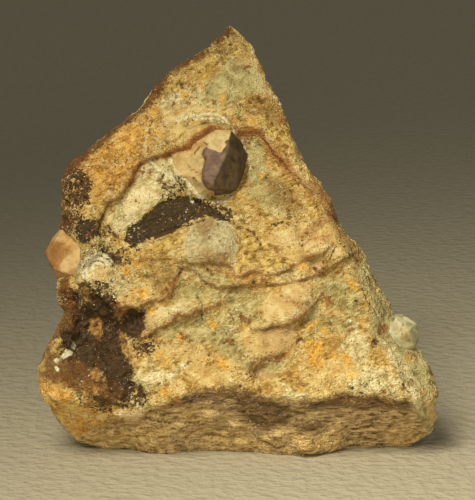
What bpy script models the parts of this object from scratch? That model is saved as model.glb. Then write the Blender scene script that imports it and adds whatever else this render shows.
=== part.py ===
"""Pseudoleucite hand specimen: a wedge of weathered host rock with three trapezohedral crystals.

The rock is one natural solid. It is laid out on a sheet that leans back from the vertical:
s runs across the sheet, t up it and d out of it. The broken front face, its ledges, lumps and
hollows are all placed by (s, t) in millimetres on that sheet. The three crystals are separate
grown bodies, each in its own socket in the rock.
"""
import math

import bmesh
import bpy
import numpy as np
from mathutils import Matrix, Vector, noise

MM = 0.001

# Driving dimensions, in metres.
SHEET_ORIGIN_HEIGHT = 40.0 * MM
BASE_CENTRE_DEPTH = 6.5 * MM
BLOCK_HALF_DEPTH = 62.0 * MM
SAW_SIZE = 400.0 * MM
ROCK_GRID = 1.0 * MM
CRYSTAL_GAP = 0.3 * MM
MAIN_CRYSTAL_RADIUS = 9.0 * MM
LEFT_CRYSTAL_RADIUS = 7.2 * MM
RIGHT_CRYSTAL_RADIUS = 4.8 * MM

SHEET_LEAN = math.radians(18.0)
ROCK_TRIANGLES = 9600

# The front face on the sheet, in millimetres: its foot, how far out that is, and its slopes.
FACE_FOOT_T = -31.0
FACE_FOOT_D = 10.0
FACE_SLOPE = -0.2126
UNDERCUT_SLOPE = 0.74
RIM_DEPTH = 3.0
BACK_TAPER = 0.0065
TAPER_CENTRE = (2.0, -12.0)

# Outline of the specimen on the sheet, clockwise from its apex.
OUTLINE = [
    (-1.8, 48.7), (0.0, 46.3), (3.0, 42.5), (5.5, 39.0), (6.6, 36.5), (8.8, 32.5),
    (10.6, 28.0), (12.1, 23.0), (14.0, 19.0), (15.3, 16.2), (17.8, 14.3), (19.8, 10.5),
    (21.8, 5.2), (25.3, 1.0), (29.4, -5.5), (32.2, -10.5), (34.8, -15.5), (38.2, -21.5),
    (40.5, -27.0), (42.2, -32.5), (43.5, -36.8), (42.0, -39.2), (39.5, -41.6), (39.2, -52.0),
    (-29.5, -52.0), (-29.0, -40.4), (-32.8, -39.9), (-38.3, -36.8), (-40.3, -30.5),
    (-41.3, -25.0), (-39.4, -18.5), (-36.4, -13.8), (-37.6, -9.8), (-36.8, -5.5),
    (-36.2, 0.0), (-37.0, 5.0), (-37.4, 11.5), (-37.7, 17.0), (-34.8, 20.3), (-27.6, 26.4),
    (-23.2, 29.4), (-19.2, 32.4), (-17.2, 36.0), (-14.0, 39.3), (-9.8, 41.7), (-6.0, 44.1),
    (-3.6, 46.8),
]

# Where the foot of the front meets the floor, as (s, t), from left to right.
FRONT_FOOT = [
    (-40.0, -41.0), (-29.0, -41.3), (-25.0, -42.0), (-20.5, -42.6), (-15.5, -43.1),
    (-8.0, -42.2), (5.0, -42.7), (15.0, -43.3), (22.0, -42.0), (32.0, -41.7), (42.0, -41.5),
]

# Fracture planes that shape the back, as a point in millimetres above the floor and a normal.
BACK_PLANES = [
    ((0.0, 30.5, 0.0), (0.04, 1.0, 0.06)),
    ((-31.0, 20.0, 10.0), (-0.70, 0.80, 0.03)),
    ((33.0, 22.0, 10.0), (0.66, 0.85, 0.22)),
    ((-10.0, 26.0, 60.0), (-0.45, 0.85, 0.25)),
    ((14.0, 26.0, 55.0), (0.60, 0.75, 0.25)),
    ((0.0, 30.0, 12.0), (0.10, 0.80, -0.55)),
]

# Ledges on the front: height, how far back the raised rock fades out, and the lip as (s, t).
# Each lip runs left to right, with the raised rock above it.
LEDGES = {
    "upper_plate_left": (1.9, 16.0, [
        (-28.8, 5.5), (-27.6, 10.2), (-25.0, 11.1), (-23.0, 12.8), (-21.4, 17.3), (-20.0, 19.2),
        (-16.3, 20.3), (-12.0, 21.3), (-8.0, 23.7), (-4.8, 25.6), (-2.0, 26.0)]),
    "upper_plate_right": (1.8, 9.0, [
        (-0.3, 24.2), (3.9, 24.7), (6.4, 22.4), (9.0, 19.0), (11.5, 15.4), (15.2, 12.2),
        (18.5, 7.0)]),
    "dark_wedge_top": (0.8, 5.0, [
        (-23.0, 2.5), (-20.4, 5.2), (-14.2, 11.0), (-12.1, 12.4), (-9.0, 11.4), (-6.8, 9.9),
        (-1.2, 6.0)]),
    "dome_foot": (1.3, 9.0, [
        (-18.3, -2.4), (-12.4, -2.3), (-8.0, -2.9), (-1.1, -3.2), (0.0, -5.2), (9.0, -5.2),
        (13.0, -2.6), (16.0, -1.4)]),
    "middle_shelf": (1.6, 8.0, [
        (-8.0, -5.2), (-5.3, -6.9), (-2.6, -8.0), (5.0, -7.5), (13.0, -6.2), (19.3, -3.8),
        (23.5, -1.5)]),
    "left_shelf": (1.6, 7.0, [
        (-25.2, -12.9), (-19.8, -11.7), (-16.5, -10.8), (-13.6, -9.8), (-12.4, -6.7)]),
    "low_left_shelf": (1.2, 6.0, [
        (-19.6, -18.2), (-16.5, -16.2), (-12.0, -14.0), (-8.0, -12.6), (-3.6, -11.4)]),
    "shard_foot": (1.6, 6.0, [(5.0, -16.3), (9.8, -15.6), (12.4, -14.1), (15.6, -11.6)]),
    "tongue_foot": (1.5, 4.0, [
        (2.8, -25.6), (3.8, -23.4), (8.8, -22.6), (11.0, -21.2), (13.0, -18.0)]),
    "tongue_shadow": (0.9, 4.0, [(3.6, -26.5), (9.8, -25.6), (13.0, -25.8)]),
    "block_lip": (1.8, 6.0, [
        (-36.5, -8.6), (-30.3, -8.7), (-27.8, -9.6), (-25.2, -12.7), (-19.6, -12.6)]),
    "band_top": (1.5, 7.0, [
        (-31.0, -36.6), (-25.5, -35.6), (-20.5, -34.8), (-17.0, -32.8), (-13.0, -31.6),
        (-9.0, -29.4), (1.0, -29.1), (9.0, -30.8), (16.0, -31.4), (22.0, -29.8), (35.0, -30.9),
        (38.0, -34.0)]),
}

# Lumps and hollows on the front: centre (s, t), half widths across and up, and height.
LUMPS = {
    "pale_dome": ((-5.0, 1.6), (5.6, 5.0), 1.3),
    "swirl_lump": ((-29.0, -4.4), (4.2, 4.2), 1.8),
    "shard_lobe": ((11.4, -11.4), (4.6, 4.6), 1.4),
    "upper_shard": ((16.8, 0.8), (4.0, 3.2), 0.9),
    "rim_bump": ((17.6, 10.9), (2.8, 4.0), 1.3),
    "left_dark_cluster": ((-33.5, 12.0), (3.0, 4.5), 1.0),
    "left_dark_patch": ((-32.0, 4.0), (3.6, 3.2), 0.8),
    "low_right_lump": ((26.3, -25.2), (3.2, 2.6), 1.2),
    "low_right_bump": ((31.8, -27.0), (2.8, 2.2), 1.0),
    "low_middle_bump": ((-18.5, -26.5), (3.0, 2.4), 0.9),
    "low_left_lobe": ((-33.0, -29.0), (6.0, 5.0), 1.6),
    "big_hollow": ((-27.5, -17.0), (5.5, 6.0), -3.8),
    "left_hollow": ((-34.0, -19.5), (3.6, 4.6), -1.6),
    "crystal_shoulder": ((-12.0, 20.0), (5.5, 6.0), 1.4),
    "crystal_foot": ((3.0, 15.5), (4.0, 6.5), -0.9),
    "round_hole": ((24.6, -10.7), (0.9, 0.9), -1.4),
    "long_hole": ((22.4, -9.4), (0.7, 1.0), -1.1),
    "low_hole": ((28.5, -19.2), (1.6, 1.0), -1.4),
}

# Facets that fall away to the edge, as slope and inner boundary, with the edge on its right.
RIM_FACETS = {
    "right_strip": (0.95, [
        (41.5, -38.5), (37.5, -33.5), (34.6, -28.5), (31.5, -23.0), (28.8, -19.5), (28.2, -15.0),
        (26.6, -8.0), (23.6, -1.8), (20.0, 4.5), (17.0, 10.0), (14.5, 14.0), (12.6, 18.5),
        (7.6, 32.0), (4.6, 39.0), (-1.4, 46.5)]),
    "left_strip": (1.1, [
        (-2.4, 46.0), (-14.6, 37.5), (-18.6, 33.6), (-22.6, 27.8), (-27.0, 24.0), (-34.0, 17.6),
        (-35.4, 14.0), (-35.2, 4.0)]),
    "lower_left_side": (0.8, [
        (-34.5, -8.0), (-34.5, -14.0), (-37.5, -20.0), (-38.5, -25.0), (-37.0, -31.0),
        (-34.0, -35.0)]),
}

# Crystals: centre (s, t), how far the centre sits out from the face, and turn angles in degrees.
MAIN_CRYSTAL = ((-6.3, 18.4), -1.2, (31.0, 6.5, -33.0))
LEFT_CRYSTAL = ((-33.5, -1.1), -3.4, (30.0, -39.0, -13.0))
RIGHT_CRYSTAL = ((33.8, -17.9), -5.6, (-15.0, 20.0, 35.0))

SHEET_TO_WORLD = Matrix((
    (1.0, 0.0, 0.0, 0.0),
    (0.0, math.sin(SHEET_LEAN), -math.cos(SHEET_LEAN), -BASE_CENTRE_DEPTH),
    (0.0, math.cos(SHEET_LEAN), math.sin(SHEET_LEAN), SHEET_ORIGIN_HEIGHT),
    (0.0, 0.0, 0.0, 1.0),
))


# Scene helpers

def clear_scene():
    """Remove every object that the file starts with."""
    for item in list(bpy.data.objects):
        bpy.data.objects.remove(item, do_unlink=True)


def new_collection(name):
    """A new collection under the scene's own."""
    collection = bpy.data.collections.new(name)
    bpy.context.scene.collection.children.link(collection)
    return collection


def new_object(name, mesh, collection):
    """An object with this mesh in this collection."""
    item = bpy.data.objects.new(name, mesh)
    collection.objects.link(item)
    return item


def modify(item, kind, **settings):
    """Add one modifier, set it up and apply it."""
    modifier = item.modifiers.new(kind.title(), kind)
    for key, value in settings.items():
        setattr(modifier, key, value)
    with bpy.context.temp_override(object=item, active_object=item, selected_objects=[item]):
        bpy.ops.object.modifier_apply(modifier=modifier.name)


def principled(name, colour, roughness):
    """A Principled material from a colour and a roughness."""
    material = bpy.data.materials.new(name)
    material.use_nodes = True
    shader = material.node_tree.nodes["Principled BSDF"]
    shader.inputs["Base Color"].default_value = (*colour, 1.0)
    shader.inputs["Roughness"].default_value = roughness
    shader.inputs["Metallic"].default_value = 0.0
    return material


# The relief of the front face

def face_depth(t):
    """How far out the plain front face lies at height t on the sheet, in millimetres."""
    return FACE_FOOT_D + FACE_SLOPE * (t - FACE_FOOT_T)


def foot_depth(t):
    """How far out the undercut foot lies at height t on the sheet, in millimetres."""
    return FACE_FOOT_D + UNDERCUT_SLOPE * (t - FACE_FOOT_T)


def line_distance(points, line):
    """Signed distance from a polyline, positive on its left, and the overrun past its ends."""
    best = np.full(len(points), np.inf)
    signed = np.zeros(len(points))
    overrun = np.zeros(len(points))
    last = len(line) - 2
    for index in range(len(line) - 1):
        start = np.array(line[index])
        along = np.array(line[index + 1]) - start
        length = np.linalg.norm(along)
        along = along / length
        offset = points - start
        run = offset @ along
        side = along[0] * offset[:, 1] - along[1] * offset[:, 0]
        beyond = np.maximum(np.maximum(-run, run - length), 0.0)
        reach = np.hypot(side, beyond)
        score = reach - 1e-4 * np.abs(side)
        nearer = score < best
        best = np.where(nearer, score, best)
        signed = np.where(nearer, np.copysign(reach, side), signed)
        past_start = (run < 0) if index == 0 else np.zeros(len(points), bool)
        past_end = (run > length) if index == last else np.zeros(len(points), bool)
        overrun = np.where(nearer, np.where(past_start | past_end, beyond, 0.0), overrun)
    return signed, overrun


def smooth_step(low, high, value):
    """Zero below low, one above high, and an even S between them."""
    share = np.clip((value - low) / (high - low), 0.0, 1.0)
    return share * share * (3.0 - 2.0 * share)


def front_relief(points):
    """Height of the ledges, lumps, hollows and rims at (s, t) points, in millimetres."""
    height = np.zeros(len(points))
    for ledge_height, reach, lip in LEDGES.values():
        signed, overrun = line_distance(points, lip)
        raised = smooth_step(-0.5, 0.5, signed) * np.exp(-np.maximum(signed, 0.0) / reach)
        height += ledge_height * raised * np.exp(-(overrun / 2.5) ** 2)
    for centre, half_widths, lump_height in LUMPS.values():
        offset = (points - np.array(centre)) / np.array(half_widths)
        height += lump_height * np.exp(-np.sum(offset ** 2, axis=1) ** 1.5)
    for slope, boundary in RIM_FACETS.values():
        signed, overrun = line_distance(points, boundary)
        height -= slope * np.maximum(-signed, 0.0) * np.exp(-(overrun / 3.0) ** 2)
    return height


def foot_relief(points):
    """How far the undercut foot moves in or out, so that it meets the floor on FRONT_FOOT."""
    foot_s = [point[0] for point in FRONT_FOOT]
    foot_t = [point[1] for point in FRONT_FOOT]
    meets_t = np.interp(points[:, 0], foot_s, foot_t)
    floor_level = -SHEET_ORIGIN_HEIGHT / MM
    meets_d = (floor_level - meets_t * math.cos(SHEET_LEAN)) / math.sin(SHEET_LEAN)
    plain_d = foot_depth(meets_t)
    share = np.clip((FACE_FOOT_T - points[:, 1]) / (FACE_FOOT_T - meets_t), 0.0, 1.3)
    return share * (meets_d - plain_d)


def rough(points, size, seed):
    """Broken-rock roughness in -1 to 1: flat-sided cells of about this size."""
    values = []
    for point in points:
        place = Vector(point) / size + Vector((seed, seed * 1.7, seed * 0.6))
        distances, _ = noise.voronoi(place)
        values.append(distances[1] - distances[0] + 0.6 * noise.noise(place * 1.9) - 0.35)
    return np.array(values)


# The rock

def outline_block(collection):
    """The outline as a thick upright block, made from a filled flat curve."""
    curve = bpy.data.curves.new("outline", "CURVE")
    curve.dimensions = "2D"
    curve.fill_mode = "BOTH"
    curve.extrude = BLOCK_HALF_DEPTH
    spline = curve.splines.new("POLY")
    spline.points.add(len(OUTLINE) - 1)
    for knot, (s, t) in zip(spline.points, OUTLINE):
        knot.co = (s * MM, t * MM, 0.0, 1.0)
    spline.use_cyclic_u = True
    flat = new_object("outline", curve, collection)
    flat.matrix_world = SHEET_TO_WORLD
    bpy.context.view_layer.update()
    evaluated = flat.evaluated_get(bpy.context.evaluated_depsgraph_get())
    mesh = bpy.data.meshes.new_from_object(evaluated)
    mesh.transform(SHEET_TO_WORLD)
    bpy.data.objects.remove(flat, do_unlink=True)
    shape = bmesh.new()
    shape.from_mesh(mesh)
    bmesh.ops.remove_doubles(shape, verts=shape.verts, dist=0.01 * MM)
    bmesh.ops.recalc_face_normals(shape, faces=shape.faces)
    shape.to_mesh(mesh)
    shape.free()
    return mesh


def cut_away(mesh, place, normal):
    """Remove what lies beyond a plane and close the cut with flat faces."""
    shape = bmesh.new()
    shape.from_mesh(mesh)
    everything = shape.verts[:] + shape.edges[:] + shape.faces[:]
    cut = bmesh.ops.bisect_plane(
        shape, geom=everything, dist=1e-7, plane_co=place, plane_no=normal, clear_outer=True)
    edges = [piece for piece in cut["geom_cut"] if isinstance(piece, bmesh.types.BMEdge)]
    bmesh.ops.triangle_fill(shape, use_beauty=True, edges=edges)
    bmesh.ops.recalc_face_normals(shape, faces=shape.faces)
    shape.to_mesh(mesh)
    shape.free()


def sheet_direction(t_slope):
    """World normal of a plane that rises d by t_slope for each step up the sheet."""
    return SHEET_TO_WORLD.to_3x3() @ Vector((0.0, -t_slope, 1.0)).normalized()


def saw_off(item, place, normal):
    """Remove what lies beyond a plane from a solid of any outline, with a large box."""
    bpy.ops.mesh.primitive_cube_add(size=SAW_SIZE)
    saw = bpy.context.object
    turn = normal.to_track_quat("Z", "Y").to_matrix().to_4x4()
    saw.matrix_world = Matrix.Translation(place + normal * SAW_SIZE / 2.0) @ turn
    bpy.context.view_layer.update()
    modify(item, "BOOLEAN", operation="DIFFERENCE", object=saw, solver="EXACT")
    bpy.data.objects.remove(saw, do_unlink=True)


def break_block(block):
    """Cut the block to its front face, its undercut foot and its broken back."""
    foot_line = SHEET_TO_WORLD @ Vector((0.0, FACE_FOOT_T * MM, FACE_FOOT_D * MM))
    saw_off(block, foot_line, sheet_direction(FACE_SLOPE))
    saw_off(block, foot_line, sheet_direction(UNDERCUT_SLOPE))
    for place, normal in BACK_PLANES:
        depth_shift = Vector((0.0, -BASE_CENTRE_DEPTH, 0.0))
        saw_off(block, Vector(place) * MM + depth_shift, Vector(normal).normalized())


def shape_surface(item):
    """Move the rock's surface to its relief, its tapered sides and its broken roughness."""
    mesh = item.data
    count = len(mesh.vertices)
    flat = np.empty(count * 3)
    mesh.vertices.foreach_get("co", flat)
    world = flat.reshape(-1, 3)
    normals = np.array([tuple(corner.normal) for corner in mesh.vertices])
    turn = np.array(SHEET_TO_WORLD.to_3x3())
    origin = np.array(SHEET_TO_WORLD.translation)
    sheet = (world - origin) @ turn / MM
    facing = (normals @ turn)[:, 2]
    front = smooth_step(0.25, 0.65, facing)
    depth_behind = np.maximum(face_depth(sheet[:, 1]) - RIM_DEPTH - sheet[:, 2], 0.0)

    rocky = 1.1 * rough(sheet, 15.0, 3.1) + 0.45 * rough(sheet, 5.0, 8.7)
    fine = 0.35 * rough(sheet, 3.2, 5.3)
    behind = smooth_step(0.0, 5.0, depth_behind)
    push = behind[:, None] * rocky[:, None] * (normals @ turn)
    relief = front_relief(sheet[:, :2]) + foot_relief(sheet[:, :2]) + fine
    moved = sheet + push
    moved[:, 2] += front * relief
    plain = np.minimum(face_depth(sheet[:, 1]), foot_depth(sheet[:, 1]))
    moved[:, 2] = np.minimum(moved[:, 2], plain + relief)
    inset = 1.0 - BACK_TAPER * depth_behind
    centre_s, centre_t = TAPER_CENTRE
    moved[:, 0] = centre_s + (moved[:, 0] - centre_s) * inset
    upper = moved[:, 1] > centre_t
    moved[upper, 1] = centre_t + (moved[upper, 1] - centre_t) * inset[upper]
    world = (moved * MM) @ turn.T + origin
    mesh.vertices.foreach_set("co", world.ravel())
    mesh.update()


def triangle_count(mesh):
    """How many triangles the mesh makes."""
    mesh.calc_loop_triangles()
    return len(mesh.loop_triangles)


def make_rock(collection, cutters):
    """The host rock: one closed solid with a flat base and a socket for each crystal."""
    rock = new_object("matrix", outline_block(collection), collection)
    break_block(rock)
    modify(rock, "REMESH", mode="VOXEL", voxel_size=ROCK_GRID)
    shape_surface(rock)
    modify(rock, "REMESH", mode="VOXEL", voxel_size=ROCK_GRID)
    ratio = ROCK_TRIANGLES / triangle_count(rock.data)
    modify(rock, "DECIMATE", ratio=ratio, use_collapse_triangulate=True)
    saw_off(rock, Vector((0.0, 0.0, 0.0)), Vector((0.0, 0.0, -1.0)))
    for cutter in cutters:
        modify(rock, "BOOLEAN", operation="DIFFERENCE", object=cutter, solver="EXACT")
    return rock


# The crystals

def trapezohedron(name, radius, collection):
    """A crystal with the 24 kite faces of the {211} form, cut from a cube."""
    mesh = bpy.data.meshes.new(name)
    shape = bmesh.new()
    bmesh.ops.create_cube(shape, size=2.4 * radius)
    shape.to_mesh(mesh)
    shape.free()
    face_distance = radius * 2.0 / math.sqrt(6.0)
    for long_axis in range(3):
        for signs in range(8):
            normal = [1.0, 1.0, 1.0]
            normal[long_axis] = 2.0
            for axis in range(3):
                if signs & (1 << axis):
                    normal[axis] = -normal[axis]
            direction = Vector(normal).normalized()
            cut_away(mesh, direction * face_distance, direction)
    shape = bmesh.new()
    shape.from_mesh(mesh)
    bmesh.ops.remove_doubles(shape, verts=shape.verts, dist=0.02 * MM)
    bmesh.ops.dissolve_limit(
        shape, angle_limit=math.radians(1.0), verts=shape.verts, edges=shape.edges)
    bmesh.ops.recalc_face_normals(shape, faces=shape.faces)
    shape.to_mesh(mesh)
    shape.free()
    return new_object(name, mesh, collection)


def place_crystal(name, plan, radius, collection):
    """A whole crystal, turned and set at its place on the face."""
    (s, t), out, angles = plan
    crystal = trapezohedron(name, radius, collection)
    turns = Matrix.Rotation(math.radians(angles[0]), 4, "X")
    turns = turns @ Matrix.Rotation(math.radians(angles[1]), 4, "Y")
    turns = turns @ Matrix.Rotation(math.radians(angles[2]), 4, "Z")
    place = Matrix.Translation(Vector((s, t, face_depth(t) + out)) * MM)
    crystal.data.transform(SHEET_TO_WORLD @ place @ turns)
    return crystal


def socket_cutter(name, plan, radius, cutters):
    """The crystal's shape with a small gap all round, to cut its socket."""
    cutter = place_crystal(name, plan, radius + CRYSTAL_GAP * 1.25, cutters)
    cutter.hide_render = True
    cutter.display_type = "WIRE"
    return cutter


def break_main_crystal(crystal):
    """Break the left of the main crystal away along one flat face."""
    (s, t), out, _ = MAIN_CRYSTAL
    front_face = 2.0 / math.sqrt(6.0) * MAIN_CRYSTAL_RADIUS / MM
    edge = Vector((s - 0.7, t - 0.4, face_depth(t) + out + front_face))
    normal = SHEET_TO_WORLD.to_3x3() @ Vector((-0.55, 0.15, 0.82)).normalized()
    cut_away(crystal.data, SHEET_TO_WORLD @ (edge * MM), normal)


def main():
    clear_scene()
    parts = new_collection("pseudoleucite_specimen")
    cutters = new_collection("cutters")
    plans = {
        "main_crystal": (MAIN_CRYSTAL, MAIN_CRYSTAL_RADIUS),
        "left_crystal": (LEFT_CRYSTAL, LEFT_CRYSTAL_RADIUS),
        "right_crystal": (RIGHT_CRYSTAL, RIGHT_CRYSTAL_RADIUS),
    }
    crystals = {}
    sockets = []
    for name, (plan, radius) in plans.items():
        crystals[name] = place_crystal(name, plan, radius, parts)
        sockets.append(socket_cutter(name + "_socket", plan, radius, cutters))
    break_main_crystal(crystals["main_crystal"])
    rock = make_rock(parts, sockets)

    rock.data.materials.append(principled("host_rock", (0.36, 0.29, 0.18), 0.85))
    looks = {
        "main_crystal": ("crystal_skin", (0.10, 0.06, 0.055), 0.55),
        "left_crystal": ("cream_crystal", (0.55, 0.44, 0.28), 0.75),
        "right_crystal": ("grey_crystal", (0.40, 0.40, 0.32), 0.75),
    }
    for name, (material_name, colour, roughness) in looks.items():
        crystals[name].data.materials.append(principled(material_name, colour, roughness))
    for item in parts.objects:
        print(item.name, triangle_count(item.data), "triangles")


main()
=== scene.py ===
# %% [markdown]
# # A pseudoleucite specimen
# A hand-sized piece of altered lava with three pseudoleucite crystals in it. Pseudoleucite keeps
# the many-sided shape of leucite, a trapezohedron of 24 kite-shaped faces, after feldspar has
# taken its place. The lesson dresses the plain solids of the frame: a broken, stained rock,
# one dark-skinned crystal, one cream crystal and one pale green crystal.

# %% Frame
import math

import bpy
import numpy as np
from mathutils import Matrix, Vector, noise


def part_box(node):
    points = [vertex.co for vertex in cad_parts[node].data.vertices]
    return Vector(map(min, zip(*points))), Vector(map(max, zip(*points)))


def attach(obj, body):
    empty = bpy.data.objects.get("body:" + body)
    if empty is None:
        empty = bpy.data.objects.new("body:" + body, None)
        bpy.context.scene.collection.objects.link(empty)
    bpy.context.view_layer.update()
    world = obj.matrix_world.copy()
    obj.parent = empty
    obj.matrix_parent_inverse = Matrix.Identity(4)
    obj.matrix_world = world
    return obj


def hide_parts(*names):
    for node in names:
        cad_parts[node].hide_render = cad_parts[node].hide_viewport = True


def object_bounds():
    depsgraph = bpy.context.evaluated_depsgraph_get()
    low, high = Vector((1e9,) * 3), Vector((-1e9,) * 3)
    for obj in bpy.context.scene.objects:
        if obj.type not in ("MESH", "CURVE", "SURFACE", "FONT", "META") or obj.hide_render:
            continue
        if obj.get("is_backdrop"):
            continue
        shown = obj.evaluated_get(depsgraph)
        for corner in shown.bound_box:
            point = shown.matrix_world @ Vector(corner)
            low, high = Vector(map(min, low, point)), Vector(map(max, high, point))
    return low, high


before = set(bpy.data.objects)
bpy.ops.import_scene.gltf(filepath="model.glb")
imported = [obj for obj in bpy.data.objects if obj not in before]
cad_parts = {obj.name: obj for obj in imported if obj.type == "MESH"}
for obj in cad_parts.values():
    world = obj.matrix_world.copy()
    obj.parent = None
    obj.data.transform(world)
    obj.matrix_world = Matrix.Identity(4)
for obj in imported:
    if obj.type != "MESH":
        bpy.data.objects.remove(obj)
cad_low, cad_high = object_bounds()
MM = 0.001
print("solids:", sorted(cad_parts), "box in mm:",
      [round((high - low) / MM, 1) for low, high in zip(cad_low, cad_high)])

# %% [markdown]
# ## The plan of the front
# The broken front of the rock is nearly a flat sheet that leans back. Its ledges, stains and
# crystals could each be placed by hand in space, but that is slow, and hard to change later. Here
# all of them are drawn on one flat plan, 475 units wide and 500 units high, as a carver marks out
# a face before cutting. One unit is about a fifth of a millimetre. The plan is what the camera
# sees, so one set of values places the camera and lays out the plan.

# %% Plan and camera
PLAN_WIDTH = 475
PLAN_HEIGHT = 500
SHEET_LEAN = math.radians(18.0)
SHEET_ORIGIN = Vector((0.0, -6.5 * MM, 40.0 * MM))
CAMERA_DISTANCE = 438.6 * MM
LENS = 150.0
SENSOR = 36.0
# A point's offset across the view over its distance, times this, is its offset on the plan.
PLAN_UNITS = LENS / SENSOR * PLAN_HEIGHT
UNIT_MM = CAMERA_DISTANCE / PLAN_UNITS / MM

sheet_right = np.array((1.0, 0.0, 0.0))
sheet_up = np.array((0.0, math.sin(SHEET_LEAN), math.cos(SHEET_LEAN)))
sheet_out = np.array((0.0, -math.cos(SHEET_LEAN), math.sin(SHEET_LEAN)))

camera_data = bpy.data.cameras.new("camera")
camera_data.lens = LENS
camera_data.sensor_width = SENSOR
camera = bpy.data.objects.new("camera", camera_data)
bpy.context.scene.collection.objects.link(camera)
camera.location = SHEET_ORIGIN + Vector(sheet_out) * CAMERA_DISTANCE
camera.rotation_euler = (math.radians(90.0) - SHEET_LEAN, 0.0, 0.0)
bpy.context.scene.camera = camera
print("camera", [round(value, 3) for value in camera.location], "one plan unit is",
      round(UNIT_MM, 3), "mm")


def plan_of(points):
    """Where points in metres fall on the plan, and how far out they stand in millimetres."""
    offset = points - np.array(SHEET_ORIGIN)
    out = offset @ sheet_out
    scale = PLAN_UNITS / (CAMERA_DISTANCE - out)
    plan = np.stack((PLAN_WIDTH / 2 + offset @ sheet_right * scale,
                     PLAN_HEIGHT / 2 - offset @ sheet_up * scale), axis=1)
    return plan, out / MM


# %% [markdown]
# ## Floor and light
# The specimen stands on warm white paper: pressed fibre, dull, with a soft pebble about two
# millimetres wide. Even light from all round would hide the relief of the rock, so one soft lamp
# near the front and to the left does most of the work. Because it is near, its light falls off
# across the paper, pale in front and dim behind. A weak lamp low in front and a dim room open up
# the shadows.

# %% Node tools
def srgb(code):
    """A hex colour as linear red, green, blue and alpha."""
    channels = [int(code[index:index + 2], 16) / 255.0 for index in (0, 2, 4)]
    linear = [c / 12.92 if c <= 0.04045 else ((c + 0.055) / 1.055) ** 2.4 for c in channels]
    return (*linear, 1.0)


def new_material(name):
    """An empty node material, its tree and its surface shader."""
    material = bpy.data.materials.new(name)
    material.use_nodes = True
    tree = material.node_tree
    tree.nodes.clear()
    output = tree.nodes.new("ShaderNodeOutputMaterial")
    shader = tree.nodes.new("ShaderNodeBsdfPrincipled")
    tree.links.new(shader.outputs[0], output.inputs["Surface"])
    return material, tree, shader


def add(tree, kind, inputs=(), **settings):
    """Add a node with its settings, and set or link its inputs by name or number."""
    node = tree.nodes.new(kind)
    for name, value in settings.items():
        setattr(node, name, value)
    for name, value in dict(inputs).items():
        if isinstance(value, bpy.types.NodeSocket):
            tree.links.new(value, node.inputs[name])
        else:
            node.inputs[name].default_value = value
    return node


print("white is", srgb("ffffff"), "and middle grey", round(srgb("808080")[0], 3))

# %% Floor
FLOOR_REACH = 1.6
PAPER_PEBBLE = 1.9 * MM
PAPER_RELIEF = 1.1 * MM
PAPER_GRAIN = (0.75, 1.0, 1.0)
PAPER_ROUGHNESS = 0.9
PAPER_DARK, PAPER_LIGHT = "a69d8a", "b5ac98"
bpy.ops.object.select_all(action="DESELECT")
bpy.ops.mesh.primitive_plane_add(size=2 * FLOOR_REACH, location=(0.0, 0.0, 0.0))
floor = bpy.context.object
floor.name = "floor"
floor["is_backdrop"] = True

# Paper is dull, and its fibres make soft pebbles that are a little longer across the view.
floor_material, tree, shader = new_material("warm_paper")
coords = add(tree, "ShaderNodeTexCoord")
stretch = add(tree, "ShaderNodeMapping", {"Vector": coords.outputs["Object"],
                                          "Scale": PAPER_GRAIN})
fibre = add(tree, "ShaderNodeTexNoise", {"Vector": stretch.outputs[0],
                                         "Scale": 1.0 / PAPER_PEBBLE, "Detail": 2.0})
paper = add(tree, "ShaderNodeMix", {0: fibre.outputs[0], 6: srgb(PAPER_DARK),
                                    7: srgb(PAPER_LIGHT)}, data_type="RGBA")
fibre_bump = add(tree, "ShaderNodeBump", {"Height": fibre.outputs[0], "Strength": 1.0,
                                          "Distance": PAPER_RELIEF})
tree.links.new(paper.outputs[2], shader.inputs["Base Color"])
tree.links.new(fibre_bump.outputs[0], shader.inputs["Normal"])
shader.inputs["Roughness"].default_value = PAPER_ROUGHNESS
floor.data.materials.append(floor_material)
print("paper:", 2 * FLOOR_REACH, "m square, pebble", round(PAPER_PEBBLE / MM, 1), "mm")

# %% Lamps
KEY_PLACE = Vector((-0.12, -0.22, 0.38))
KEY_TARGET = Vector((0.052, -0.125, 0.0))
KEY_SIZE = 0.22
KEY_POWER = 0.41
KEY_COLOUR = (1.0, 0.93, 0.70)
KEY_SPREAD = math.radians(60.0)
FILL_PLACE = Vector((0.12, -0.62, 0.14))
FILL_TARGET = Vector((0.0, 0.0, 0.03))
FILL_SIZE = 0.30
FILL_POWER = 0.90
FILL_COLOUR = (1.0, 0.93, 0.72)
ROOM_COLOUR = (1.0, 0.97, 0.79, 1.0)
ROOM_STRENGTH = 0.185


def lamp(name, place, target, size, power, colour):
    """A square area lamp that points at a target."""
    data = bpy.data.lights.new(name, "AREA")
    data.size = size
    data.energy = power
    data.color = colour
    light = bpy.data.objects.new(name, data)
    bpy.context.scene.collection.objects.link(light)
    light.location = place
    light.rotation_euler = (target - place).to_track_quat("-Z", "Y").to_euler()
    return light


key_lamp = lamp("key_lamp", KEY_PLACE, KEY_TARGET, KEY_SIZE, KEY_POWER, KEY_COLOUR)
key_lamp.data.spread = KEY_SPREAD
lamp("fill_lamp", FILL_PLACE, FILL_TARGET, FILL_SIZE, FILL_POWER, FILL_COLOUR)
world = bpy.data.worlds.new("room")
world.use_nodes = True
backdrop = world.node_tree.nodes["Background"]
backdrop.inputs["Color"].default_value = ROOM_COLOUR
backdrop.inputs["Strength"].default_value = ROOM_STRENGTH
bpy.context.scene.world = world
bpy.context.scene.view_settings.view_transform = "Standard"
print("lamps at", [round(v, 2) for v in KEY_PLACE], [round(v, 2) for v in FILL_PLACE])

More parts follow.
